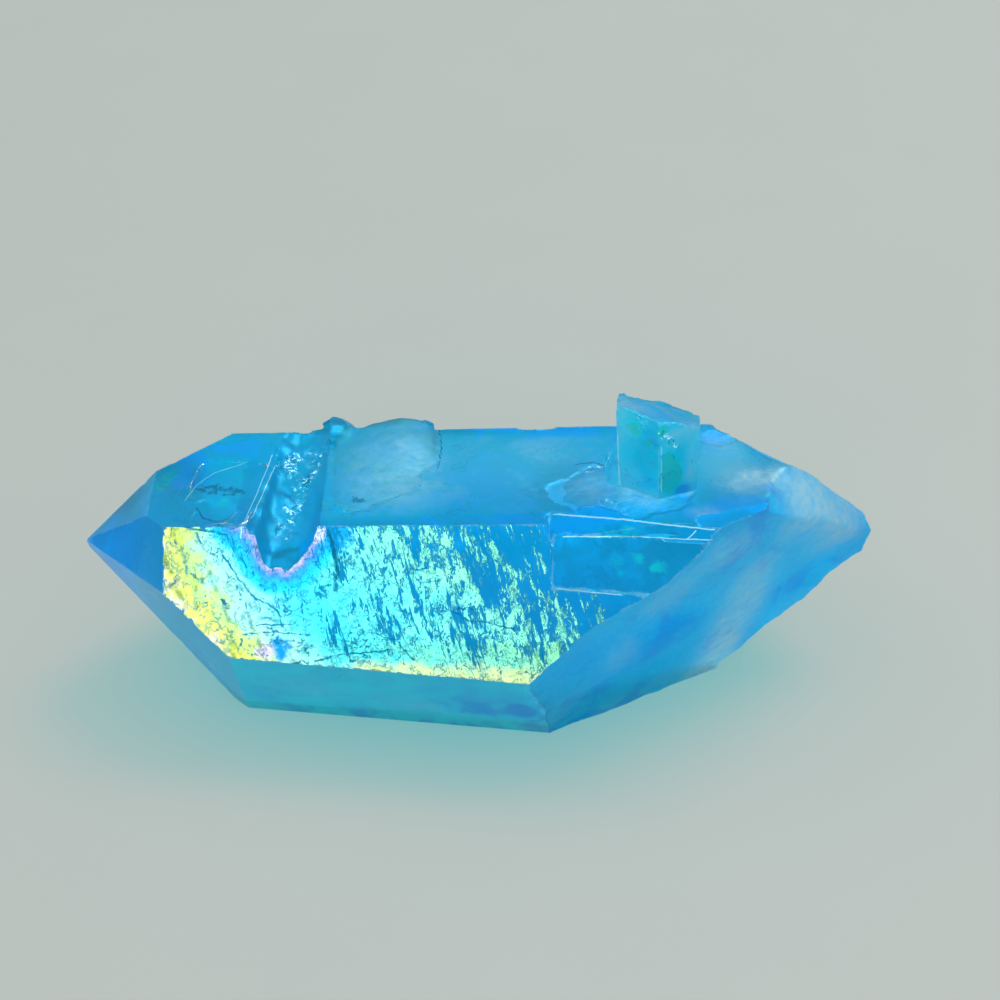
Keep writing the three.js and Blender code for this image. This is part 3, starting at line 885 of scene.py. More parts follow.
class Bench:
    """Adds nodes to one tree and wires them, left to right."""

    def __init__(self, tree: bpy.types.NodeTree) -> None:
        """Starts on a tree."""
        self.tree = tree

    def add(
        self, kind: str, wires: dict[str | int, Source] | None = None, **settings: object
    ) -> bpy.types.Node:
        """Adds a node.

        Args:
            kind: the node's type.
            wires: what each input gets, by its name or number: a value, or another node's output.
            settings: the node's own settings.

        Returns:
            The node.
        """
        node = self.tree.nodes.new(kind)
        for name, value in settings.items():
            setattr(node, name, value)
        for name, value in (wires or {}).items():
            self.feed(node.inputs[name], value)
        return node

    def feed(self, socket: Socket, value: Source) -> None:
        """Wires an output to a socket, or sets the socket to a value."""
        if isinstance(value, Socket):
            self.tree.links.new(value, socket)
        else:
            socket.default_value = value

    def sum_of(self, operation: str, *values: Source) -> Socket:
        """A sum on one, two or three numbers."""
        return self.add("ShaderNodeMath", dict(enumerate(values)), operation=operation).outputs[0]

    def product(self, first: Source, *others: Source) -> Source:
        """Numbers multiplied by one another."""
        for other in others:
            first = self.sum_of("MULTIPLY", first, other)
        return first

    def most(self, first: Source, second: Source) -> Socket:
        """The larger of two numbers."""
        return self.sum_of("MAXIMUM", first, second)

    def without(self, value: Source) -> Socket:
        """What a mask leaves free."""
        return self.sum_of("SUBTRACT", 1.0, value)

    def parts(self, vector: Source) -> tuple[Socket, ...]:
        """The three numbers of a vector."""
        return tuple(self.add("ShaderNodeSeparateXYZ", {0: vector}).outputs)

    def vector_sum(self, operation: str, *values: Source) -> Socket:
        """A sum on one, two or three vectors."""
        return self.add("ShaderNodeVectorMath", dict(enumerate(values)), operation=operation).outputs[0]

    def scaled(self, vector: Source, size: Source) -> Socket:
        """A vector times a number."""
        node = self.add("ShaderNodeVectorMath", {0: vector, "Scale": size}, operation="SCALE")
        return node.outputs[0]

    def measure(self, operation: str, first: Source, second: Source) -> Socket:
        """A number made from two vectors, such as how far apart they are."""
        node = self.add("ShaderNodeVectorMath", {0: first, 1: second}, operation=operation)
        return node.outputs["Value"]

    def clamped(self, value: Source) -> Socket:
        """A number held between 0 and 1."""
        return self.add("ShaderNodeClamp", {0: value}).outputs[0]

    def blend(self, share: Source, low: Source, high: Source) -> Socket:
        """A number between two others."""
        wires = {0: share, 2: low, 3: high}
        return self.add("ShaderNodeMix", wires, data_type="FLOAT").outputs[0]

    def paint(self, share: Source, under: Source, over: Source) -> Socket:
        """A colour over another."""
        wires = {0: share, 6: under, 7: over}
        return self.add("ShaderNodeMix", wires, data_type="RGBA").outputs[2]

    def wash(self, share: Source, under: Source, tint: Colour) -> Socket:
        """One plain colour over another."""
        return self.paint(share, under, (*tint, 1.0))

    def step(
        self, value: Source, start: Source, end: Source, low: Source = 0.0, high: Source = 1.0
    ) -> Socket:
        """A soft step from low to high as a value goes from start to end."""
        wires = {0: value, 1: start, 2: end, 3: low, 4: high}
        return self.add("ShaderNodeMapRange", wires, interpolation_type="SMOOTHSTEP").outputs[0]

    def noise(
        self, place: Source, scale: Source, detail: float, roughness: float, twist: float = 0.0
    ) -> Socket:
        """Smooth noise from 0 to 1."""
        wires = {
            "Vector": place,
            "Scale": scale,
            "Detail": detail,
            "Roughness": roughness,
            "Distortion": twist,
        }
        return self.add("ShaderNodeTexNoise", wires).outputs[0]

    def bare(self, place: Source, grain: Grain) -> Socket:
        """A grain's noise before it is made a mask."""
        return self.noise(place, grain.scale, grain.detail, grain.roughness, grain.twist)

    def mask(self, noise: Source, grain: Grain) -> Socket:
        """A grain's noise made into its mask."""
        return self.step(noise, grain.start, grain.end, grain.low, grain.high)

    def grain(self, place: Source, grain: Grain) -> Socket:
        """A mask made of noise."""
        return self.mask(self.bare(place, grain), grain)

    def ramp_value(self, value: Source, stops: Sequence[tuple[float, float]]) -> Source:
        """A value that changes from place to place: each stop is a place and the value there."""
        total: Source = stops[0][1]
        for (start, low), (end, high) in zip(stops, stops[1:]):
            total = self.sum_of("ADD", total, self.step(value, start, end, 0.0, high - low))
        return total

    def ramp(self, value: Source, stops: Sequence[tuple[float, Colour]]) -> Socket:
        """A colour that changes with a value from 0 to 1."""
        node = self.add("ShaderNodeValToRGB", {0: value})
        band = node.color_ramp
        while len(band.elements) < len(stops):
            band.elements.new(0.5)
        for element, (place, colour) in zip(band.elements, stops):
            element.position = place
            element.color = (*colour, 1.0)
        return node.outputs[0]


def group_tree(
    name: str, inputs: dict[str, tuple[str, object]], outputs: dict[str, str], kind: str = "ShaderNodeTree"
) -> tuple[Bench, dict[str, Socket], dict[str, Socket]]:
    """Makes an empty node group.

    Args:
        name: the group's name.
        inputs: each input's socket type and first value.
        outputs: each output's socket type.
        kind: a shader or a geometry tree.

    Returns:
        A bench for its nodes, what it is given and the sockets for what it makes, by name.
    """
    tree = bpy.data.node_groups.new(name, kind)
    for label, (socket_type, value) in inputs.items():
        socket = tree.interface.new_socket(label, in_out="INPUT", socket_type=socket_type)
        if value is not None:
            socket.default_value = value
    for label, socket_type in outputs.items():
        tree.interface.new_socket(label, in_out="OUTPUT", socket_type=socket_type)
    bench = Bench(tree)
    given = bench.add("NodeGroupInput").outputs
    made = bench.add("NodeGroupOutput").inputs
    return bench, {name: given[name] for name in inputs}, {name: made[name] for name in outputs}


def place_group(bench: Bench, tree: bpy.types.NodeTree, **values: Source) -> Socket:
    """Places a group in a tree.

    Args:
        bench: where it goes.
        tree: the group.
        values: what each of its inputs gets.

    Returns:
        Its first output.
    """
    kind = "GeometryNodeGroup" if bench.tree.bl_idname == "GeometryNodeTree" else "ShaderNodeGroup"
    node = bench.add(kind, node_tree=tree)
    for label, value in values.items():
        bench.feed(node.inputs[label], value)
    return node.outputs[0]


NUMBER = "NodeSocketFloat"
VECTOR = "NodeSocketVector"
GEOMETRY = "NodeSocketGeometry"
MIDDLE = (0.5, 0.5, 0.5)
"""The middle of a noise's colours."""


def cloud_group() -> bpy.types.NodeTree:
    """Soft clouds with fine flecks in them, as frost and haze lie on a crystal."""
    bench, given, made = group_tree(
        "frost clouds",
        {"Place": (VECTOR, None), "Size": (NUMBER, 3.0), "Cover": (NUMBER, 0.5), "Flecks": (NUMBER, 0.3)},
        {"Mask": NUMBER},
    )
    fineness, thinnest, spread, edge = 9.0, 0.78, 0.56, 0.22
    scale = bench.sum_of("DIVIDE", 1.0, given["Size"])
    soft = bench.noise(given["Place"], scale, detail=4.0, roughness=0.55, twist=0.4)
    fine = bench.noise(given["Place"], bench.product(scale, fineness), detail=3.0, roughness=0.6)
    mixed = bench.blend(given["Flecks"], soft, fine)
    start = bench.sum_of("SUBTRACT", thinnest, bench.product(given["Cover"], spread))
    bench.feed(made["Mask"], bench.step(mixed, start, bench.sum_of("ADD", start, edge)))
    return bench.tree


def streak_group(kind: str = "ShaderNodeTree") -> bpy.types.NodeTree:
    """Streaks with ragged ends that run across a face, as growth leaves them.

    Args:
        kind: a shader tree for colour or a geometry tree for relief.

    Returns:
        The group.
    """
    bench, given, made = group_tree(
        "growth streaks",
        {
            "Place": (VECTOR, None),
            "Slant": (NUMBER, 0.35),
            "Width": (NUMBER, 0.6),
            "Length": (NUMBER, 3.5),
            "Cover": (NUMBER, 0.5),
            "Softness": (NUMBER, 0.06),
        },
        {"Mask": NUMBER},
        kind,
    )
    finer, fine_share, gain, offset = (3.1, 2.3, 1.0), 0.42, 1.6, -0.3
    thinnest, spread = 0.72, 0.44
    x, y, _ = bench.parts(given["Place"])
    lean = bench.product(y, given["Slant"])
    across = bench.sum_of("DIVIDE", bench.sum_of("ADD", x, lean), given["Width"])
    along = bench.sum_of("DIVIDE", y, given["Length"])
    place = bench.add("ShaderNodeCombineXYZ", {0: across, 1: along, 2: 0.0}).outputs[0]
    broad = bench.noise(place, scale=0.55, detail=5.0, roughness=0.62, twist=0.25)
    closer = bench.vector_sum("MULTIPLY", place, finer)
    fine = bench.noise(closer, scale=1.0, detail=4.0, roughness=0.65, twist=0.6)
    height = bench.sum_of("MULTIPLY_ADD", bench.blend(fine_share, broad, fine), gain, offset)
    limit = bench.sum_of("SUBTRACT", thinnest, bench.product(given["Cover"], spread))
    start = bench.sum_of("SUBTRACT", limit, given["Softness"])
    end = bench.sum_of("ADD", limit, given["Softness"])
    bench.feed(made["Mask"], bench.step(height, start, end))
    return bench.tree


def crack_group() -> bpy.types.NodeTree:
    """A thin line from one place to another."""
    bench, given, made = group_tree(
        "crack line",
        {"Place": (VECTOR, None), "Start": (VECTOR, None), "End": (VECTOR, None), "Width": (NUMBER, 0.06)},
        {"Mask": NUMBER},
    )
    crisp_share = 0.3
    flat = bench.vector_sum("MULTIPLY", given["Place"], (1.0, 1.0, 0.0))
    reach = bench.vector_sum("SUBTRACT", flat, given["Start"])
    line = bench.vector_sum("SUBTRACT", given["End"], given["Start"])
    along = bench.measure("DOT_PRODUCT", reach, line)
    share = bench.sum_of("DIVIDE", along, bench.measure("DOT_PRODUCT", line, line))
    nearest = bench.scaled(line, bench.clamped(share))
    gap = bench.measure("DISTANCE", reach, nearest)
    width = given["Width"]
    bench.feed(made["Mask"], bench.step(gap, bench.product(width, crisp_share), width, 1.0, 0.0))
    return bench.tree


def chip_and_highlight_group() -> bpy.types.NodeTree:
    """A broken pale line along crisp edges: partly chips, partly a painted edge highlight."""
    bench, given, made = group_tree(
        "edge chips and highlight",
        {"Place": (VECTOR, None), "Distance": (NUMBER, 1.0), "Width": (NUMBER, 0.15), "Chips": (NUMBER, 0.5)},
        {"Mask": NUMBER},
    )
    rough = Grain(2.6, roughness=0.7, start=0.35, end=0.75, low=0.2, high=2.0)
    ragged = bench.grain(given["Place"], rough)
    line = bench.step(given["Distance"], 0.0, bench.product(given["Width"], ragged), 1.0, 0.0)
    broken = bench.grain(given["Place"], Grain(0.7, detail=3.0, start=0.4, end=0.62))
    kept = bench.blend(given["Chips"], 1.0, broken)
    bench.feed(made["Mask"], bench.product(line, kept))
    return bench.tree


def relief_tree(material: bpy.types.Material) -> bpy.types.NodeTree:
    """A Geometry Nodes tree that sinks growth marks, grit and nicks into the crystal.

    Args:
        material: what it covers the crystal with.

    Returns:
        The tree. It reads the relief and ridge values that the mesh stores.
    """
    bench, given, made = group_tree(
        "fine relief",
        {
            "Geometry": (GEOMETRY, None),
            "Streak Depth": (NUMBER, 0.03),
            "Grit Depth": (NUMBER, 0.12),
            "Grit Size": (NUMBER, 1.6),
            "Hillock Depth": (NUMBER, 0.05),
            "Hillock Size": (NUMBER, 1.5),
            "Nick Depth": (NUMBER, 0.1),
            "Seed": (NUMBER, 0.0),
        },
        {"Geometry": GEOMETRY},
        "GeometryNodeTree",
    )
    seed_row, seed_column = 3.0, 5.0
    nick_reach, free_height = 0.3, 0.3
    here = bench.add("GeometryNodeInputPosition").outputs[0]
    place = bench.vector_sum("SUBTRACT", bench.scaled(here, 1 / MM), AXIS_MIDDLE)
    tilt = math.radians(FACETS[Zone.RAINBOW].turn - 90)
    wires = {"Vector": place, "Rotation": (tilt, 0.0, 0.0)}
    front = bench.add("ShaderNodeVectorRotate", wires, rotation_type="EULER_XYZ").outputs[0]
    stored = bench.add("GeometryNodeInputNamedAttribute", {"Name": "relief"}, data_type="FLOAT_VECTOR")
    streaky, gritty, hilly = bench.parts(stored.outputs[0])
    ridge = bench.add("GeometryNodeInputNamedAttribute", {"Name": "ridge"}, data_type="FLOAT").outputs[0]
    seeds = bench.add("ShaderNodeCombineXYZ", {0: given["Seed"], 1: seed_row, 2: seed_column})
    loose = bench.vector_sum("ADD", place, seeds.outputs[0])

    # What is sunk: between the streaks, in the grit, round the hillocks and where edges are nicked.
    tree = streak_group("GeometryNodeTree")
    streak = place_group(bench, tree, Place=front, Width=0.7, Length=3.4, Cover=0.6, Softness=0.12)
    sunk = bench.product(bench.without(streak), given["Streak Depth"], streaky)

    scale = bench.sum_of("DIVIDE", 1.0, given["Grit Size"])
    coarse = bench.noise(loose, scale, detail=5.0, roughness=0.62, twist=0.3)
    sunk = bench.sum_of("ADD", sunk, bench.product(coarse, given["Grit Depth"], gritty))

    scale = bench.sum_of("DIVIDE", 1.0, given["Hillock Size"])
    wires = {"Vector": loose, "Scale": scale, "Smoothness": 0.6}
    cells = bench.add("ShaderNodeTexVoronoi", wires, feature="SMOOTH_F1").outputs[0]
    sunk = bench.sum_of("ADD", sunk, bench.product(cells, given["Hillock Depth"], hilly))

    nicked = bench.grain(loose, Grain(0.8, roughness=0.7, start=0.52, end=0.7))
    near = bench.step(ridge, nick_reach, 0.0)
    sunk = bench.sum_of("ADD", sunk, bench.product(near, nicked, given["Nick Depth"]))

    # The face that it rests on stays flat.
    lifted = bench.step(bench.parts(here)[2], 0.0, free_height * MM)
    outward = bench.add("GeometryNodeInputNormal").outputs[0]
    offset = bench.scaled(outward, bench.product(sunk, lifted, -MM))
    moved = bench.add("GeometryNodeSetPosition", {"Geometry": given["Geometry"], "Offset": offset})
    whole = bench.add("GeometryNodeRealizeInstances", {0: moved.outputs[0]})
    covered = bench.add("GeometryNodeSetMaterial", {0: whole.outputs[0], "Material": material})
    bench.feed(made["Geometry"], covered.outputs[0])
    return bench.tree


@dataclass(frozen=True)
class RainbowCoat:
    """The shimmer of the thin metal coat on the large front face.

    Colours run in bands in from the face's left border. A violet and blue fringe follows the channel.
    Places are in millimetres along and up across the face.
    """

    bands: tuple[tuple[float, Colour], ...] = (
        (0.0, (1.0, 0.80, 0.42)),
        (0.018, (1.0, 0.86, 0.06)),
        (0.07, (0.92, 0.90, 0.02)),
        (0.13, (0.72, 0.95, 0.16)),
        (0.18, (0.56, 0.97, 0.58)),
        (0.25, (0.42, 0.97, 0.78)),
        (0.34, (0.12, 0.82, 0.86)),
        (0.42, (0.06, 0.76, 0.84)),
        (0.52, (0.14, 0.86, 0.74)),
        (0.7, (0.20, 0.88, 0.64)),
        (1.0, (0.34, 0.92, 0.44)),
    )
    band_span: float = 27.0
    border_x: float = 23.7
    border_slope: tuple[float, float, float] = (1.16, 1.25, 27.4)
    border_widening: tuple[float, ...] = (0.0, 4.0, 1.0, 1.7)
    waver: Grain = Grain(0.7, 6.0, 0.75, start=0.25, end=0.75, low=-1.5, high=1.5)
    fleck: Grain = Grain(2.4, 4.0, 0.65, low=-4.5, high=4.5)
    fleck_along: tuple[float, float] = (-14.0, -5.0)
    fringe: tuple[tuple[float, Colour], ...] = (
        (0.0, (0.95, 0.60, 0.70)),
        (0.1, (0.50, 0.25, 0.85)),
        (0.26, (0.05, 0.24, 0.95)),
        (0.55, (0.01, 0.50, 0.98)),
        (1.0, (0.04, 0.78, 0.95)),
    )
    fringe_width: float = 2.1
    fringe_waver: float = 0.16
    fringe_end: tuple[float, float] = (1.0, 0.7)
    cream: Colour = (0.80, 0.92, 0.30)
    cream_from: tuple[float, float] = (-3.9, -5.2)
    cream_waver: float = 0.4
    cream_along: tuple[float, float] = (-11.0, -8.0)
    blush: Colour = (0.90, 0.66, 0.90)
    blue: Colour = (0.0, 0.28, 0.92)
    blues: tuple[Spot, ...] = (Spot(-14.9, -3.7, 0.8, 0.9), Spot(-10.9, 4.8, 1.3, 1.5))
    blushes: tuple[Spot, ...] = (Spot(-16.0, -4.0, 0.75, 0.65), Spot(-12.2, 5.1, 0.5, 1.1))


DARK_CRACKS = (
    Crack(((-19.15, 2.85), (-17.87, 1.0), (-16.89, -0.06), (-15.11, -0.93), (-14.8, -2.09)), 0.09),
    Crack(((-12.33, -4.55), (-10.51, -4.03), (-6.87, -3.52)), 0.09),
    Crack(((-17.65, -2.79), (-15.3, -2.55), (-12.73, -2.59))),
    Crack(((-16.64, -2.09), (-13.85, -1.91))),
    Crack(((-5.63, 2.42), (-4.18, 2.55)), 0.1),
    Crack(((-4.66, 1.44), (-3.44, 1.63))),
    Crack(((-2.37, -0.5), (-1.41, -1.11), (0.25, -1.26), (2.06, -1.62)), 0.09),
    Crack(((-2.09, -0.27), (-0.57, -0.28))),
    Crack(((-8.28, -2.26), (-6.52, -2.77), (-5.11, -4.17))),
    Crack(((-11.5, 4.9), (-10.9, 2.9), (-10.9, 0.6)), 0.3),
    Crack(((-22.3, 3.3), (-21.9, 1.6)), 0.16),
    Crack(((-19.3, -0.3), (-18.8, -0.9)), 0.18),
    Crack(((-22.9, 5.1), (-21.2, 4.7), (-18.9, 4.4)), 0.16),
)
"""Dark lines on the large front face."""
RECESS_HIGHLIGHTS = (
    Crack(((4.5, 6.66), (10.0, 6.5), (16.1, 6.05)), 0.075),
    Crack(((5.4, 5.15), (10.3, 5.35), (16.0, 5.3)), 0.055),
    Crack(((5.0, 1.4), (9.7, 1.15)), 0.05),
    Crack(((14.8, 5.9), (14.2, 5.3)), 0.06),
)
# Thin painted highlight lines at the recess, on the large front face's plane.
"""Thin bright lines at the recess, on the large front face's plane."""
STUMP_HIGHLIGHTS = (
    Crack(((9.05, 12.5), (9.18, 10.6)), 0.06),
    Crack(((9.2, 10.2), (9.35, 8.8)), 0.07),
    Crack(((12.15, 11.8), (12.2, 11.2)), 0.07),
    Crack(((12.22, 10.8), (12.26, 9.9)), 0.05),
    Crack(((12.27, 9.6), (12.32, 8.5)), 0.05),
)
# Painted highlights along the stump's upright edges, seen square to the large front face.
"""Bright chips along the stump's upright edges, seen square to the large front face."""
TOP_HIGHLIGHTS = (
    Crack(((-17.0, 5.5), (-17.95, -4.4)), 0.05),
    Crack(((-16.65, 4.2), (-17.4, -2.6)), 0.035),
    Crack(((-22.7, -0.4), (-22.2, 1.7), (-21.1, 3.4), (-18.8, 4.7)), 0.035),
    Crack(((-20.6, -3.4), (-19.3, -3.2), (-18.6, -1.9)), 0.06),
)
# Thin painted highlight lines on the top, seen from above.
"""Thin bright lines on the top, seen from above."""
DARK_LINES = (
    Crack(((6.0, 3.25), (7.3, 3.5), (8.3, 3.0)), 0.08),
    Crack(((-4.5, 8.6), (-4.1, 6.0), (-4.2, 3.0)), 0.05),
    Crack(((20.3, -2.6), (20.8, -2.8)), 0.12),
    Crack(((-21.7, -1.2), (-21.0, -2.3), (-19.8, -2.7)), 0.1),
)
# Dark lines on the top, seen from above: a crack by the stump, painted shade along the patch's stepped right
# edge, and two more dark marks.
"""Dark lines on the top, seen from above."""
BLOTS = (
    Spot(-20.9, 1.2, 0.9, 0.45),
    Spot(-19.6, 0.9, 0.8, 0.4),
    Spot(-9.9, -1.0, 0.45, 0.3),
)
"""Dark ragged blots on the top, seen from above."""
FRONT_RISE = 7.4
TOP_RISE = 6.0
STUMP_RISE = 5.3
"""How far out a placed line's own surface is, so that it doesn't show on the others."""


@dataclass(frozen=True)
class Crackle:
    """Fine cracks that wind over a face.

    scale is how many bends each millimetre has, width how wide they are against their bends, and the
    higher share is, the fewer there are. crisp is how much of the width is full. patch_scale and
    patch_edge are the scale and edge of the patches that have cracks.
    """

    scale: float
    width: float
    share: float
    crisp: float = 0.4
    patch_scale: float = 0.6
    patch_edge: float = 0.05

    def path(self) -> Grain:
        """The noise whose middle values the cracks run along."""
        return Grain(self.scale, detail=5.0, twist=0.4)

    def kept(self) -> Grain:
        """Where the cracks are, and where there are none."""
        scale, end = self.scale * self.patch_scale, self.share + self.patch_edge
        return Grain(scale, detail=3.0, start=self.share, end=end)


@dataclass(frozen=True)
class Streaks:
    """Streaks across a face: their slant, sizes in millimetres, softness, and cover from place to place."""

    slant: float
    width: float
    length: float
    softness: float
    cover: tuple[tuple[float, float], ...]


@dataclass(frozen=True)
class AuraFinish:
    """Coated quartz, clear to frosted: one finish for the whole crystal, led by what its mesh stores."""

    metallic: float = 0.13
    transmission: float = 0.74
    ior: float = 1.54
    gloss: float = 0.12
    glint: Colour = (0.06, 0.7, 0.95)
    # How strongly the crumbs' painted glints glow, by emission.
    painted_glint: float = 0.7
    absorption: Colour = (0.03, 0.88, 0.97)
    density: float = 65.0
    passing: Colour = (0.78, 0.97, 0.97)
    pale: Colour = (0.64, 0.72, 0.72)
    deep: Colour = (0.0, 0.36, 0.88)
    green: Colour = (0.0, 0.64, 0.56)
    # Dark colour for cracks and dark marks, and for painted shade by streaks, steps and crumbs.
    dull: Colour = (0.0, 0.09, 0.16)
    # Colour of the painted highlight lines and of the crumbs' painted glints.
    bright: Colour = (0.62, 0.94, 1.0)

    drifting: Grain = Grain(0.35, 5.0, 0.65, twist=0.5, start=0.42, end=0.6, low=0.2)
    green_border: Grain = Grain(1.1, low=-0.25, high=0.25)
    green_cover: tuple[float, ...] = (0.3, 0.9, 0.0, 0.9)
    speckles: Grain = Grain(2.2, 5.0, 0.72, start=0.42, end=0.62)
    speckle_share: float = 0.35
    line_gaps: tuple[float, ...] = (0.38, 0.46, 0.2, 1.0)
    clouds: tuple[float, float, float] = (6.0, 0.6, 0.3)
    drag_turn: tuple[float, float, float] = (0.0, 0.49, -0.48)
    drag_stretch: tuple[float, float, float] = (0.5, 1.0, 1.0)
    dragged: Grain = Grain(1.9, 7.0, 0.74, start=0.34, end=0.66)
    dragged_share: float = 0.55
    frost_gain: tuple[float, float] = (0.7, 0.25)
    frosted_roughness: float = 0.5

    border: Grain = Grain(1.4, 5.0, 0.65)
    border_wander: float = 1.1
    border_width: float = 0.05
    mirror_roughness: float = 0.15
    face_roughness: float = 0.45
    reach_slope: float = 1.1
    low_cover: tuple[float, ...] = (-2.5, -5.2, 0.0, 0.17)
    # The shine's cover thins to the right, where the window's painted reflection fades.
    streaks: Streaks = Streaks(
        slant=0.3,
        width=0.8,
        length=3.4,
        softness=0.03,
        cover=((-20, 0.98), (-14, 0.82), (-8, 0.69), (-3, 0.61), (4, 0.5), (9, 0.36), (13, 0.25)),
    )
    flecks: Streaks = Streaks(
        slant=0.1,
        width=0.34,
        length=0.7,
        softness=0.05,
        cover=((-18, 0.98), (-12, 0.78), (-4, 0.68), (3, 0.56), (9, 0.43), (13, 0.34)),
    )
    fine_cracks: Crackle = Crackle(1.7, 0.05, 0.47)
    fine_share: float = 0.6
    broad_cracks: Crackle = Crackle(0.9, 0.03, 0.53)
    crack_along: tuple[float, ...] = (-20.0, -12.0, 0.95, 1.0)
    # How dark the painted shade round the shining streaks is.
    edge_shade_gain: float = 3.0
    hairs: Crackle = Crackle(0.35, 0.012, 0.5)
    hair_share: float = 0.3

    line_bends: float = 2.2
    line_detail: float = 2.0
    line_fade: float = 0.1
    dark_wander: float = 0.5
    highlight_wander: float = 0.12
    spot_wander: float = 0.6
    spot_edge: tuple[float, float] = (1.5, 0.1)
    blot_wander: tuple[float, ...] = (0.3, 0.7, -4.5, 4.5)
    blot_height: tuple[float, ...] = (6.0, 6.1, 0.0, 0.8)
    # The pale line along crisp edges: partly chips, partly a painted edge highlight.
    edge_line_width: float = 0.13
    chips: float = 0.9
    edge_line_share: float = 0.3

    clumps: Grain = Grain(0.9, 2.0, 0.5, start=0.44, end=0.54, low=0.1, high=1.0)
    crumbs: Grain = Grain(3.0, 4.0, 0.7, twist=0.8, start=0.57, end=0.6)
    # Where painted shade lies beside the crumbs' painted glints.
    crumb_shades: tuple[float, float] = (0.44, 0.38)
    crumb_below: tuple[float, float] = (10.9, 10.7)
    crumb_cells: float = 3.4
    crumb_tilt: float = 0.9
    bump_gain: tuple[float, float] = (2.2, 0.1)
    bump_strength: float = 0.35
    bump_depth: float = 0.1
    coat: RainbowCoat = RainbowCoat()


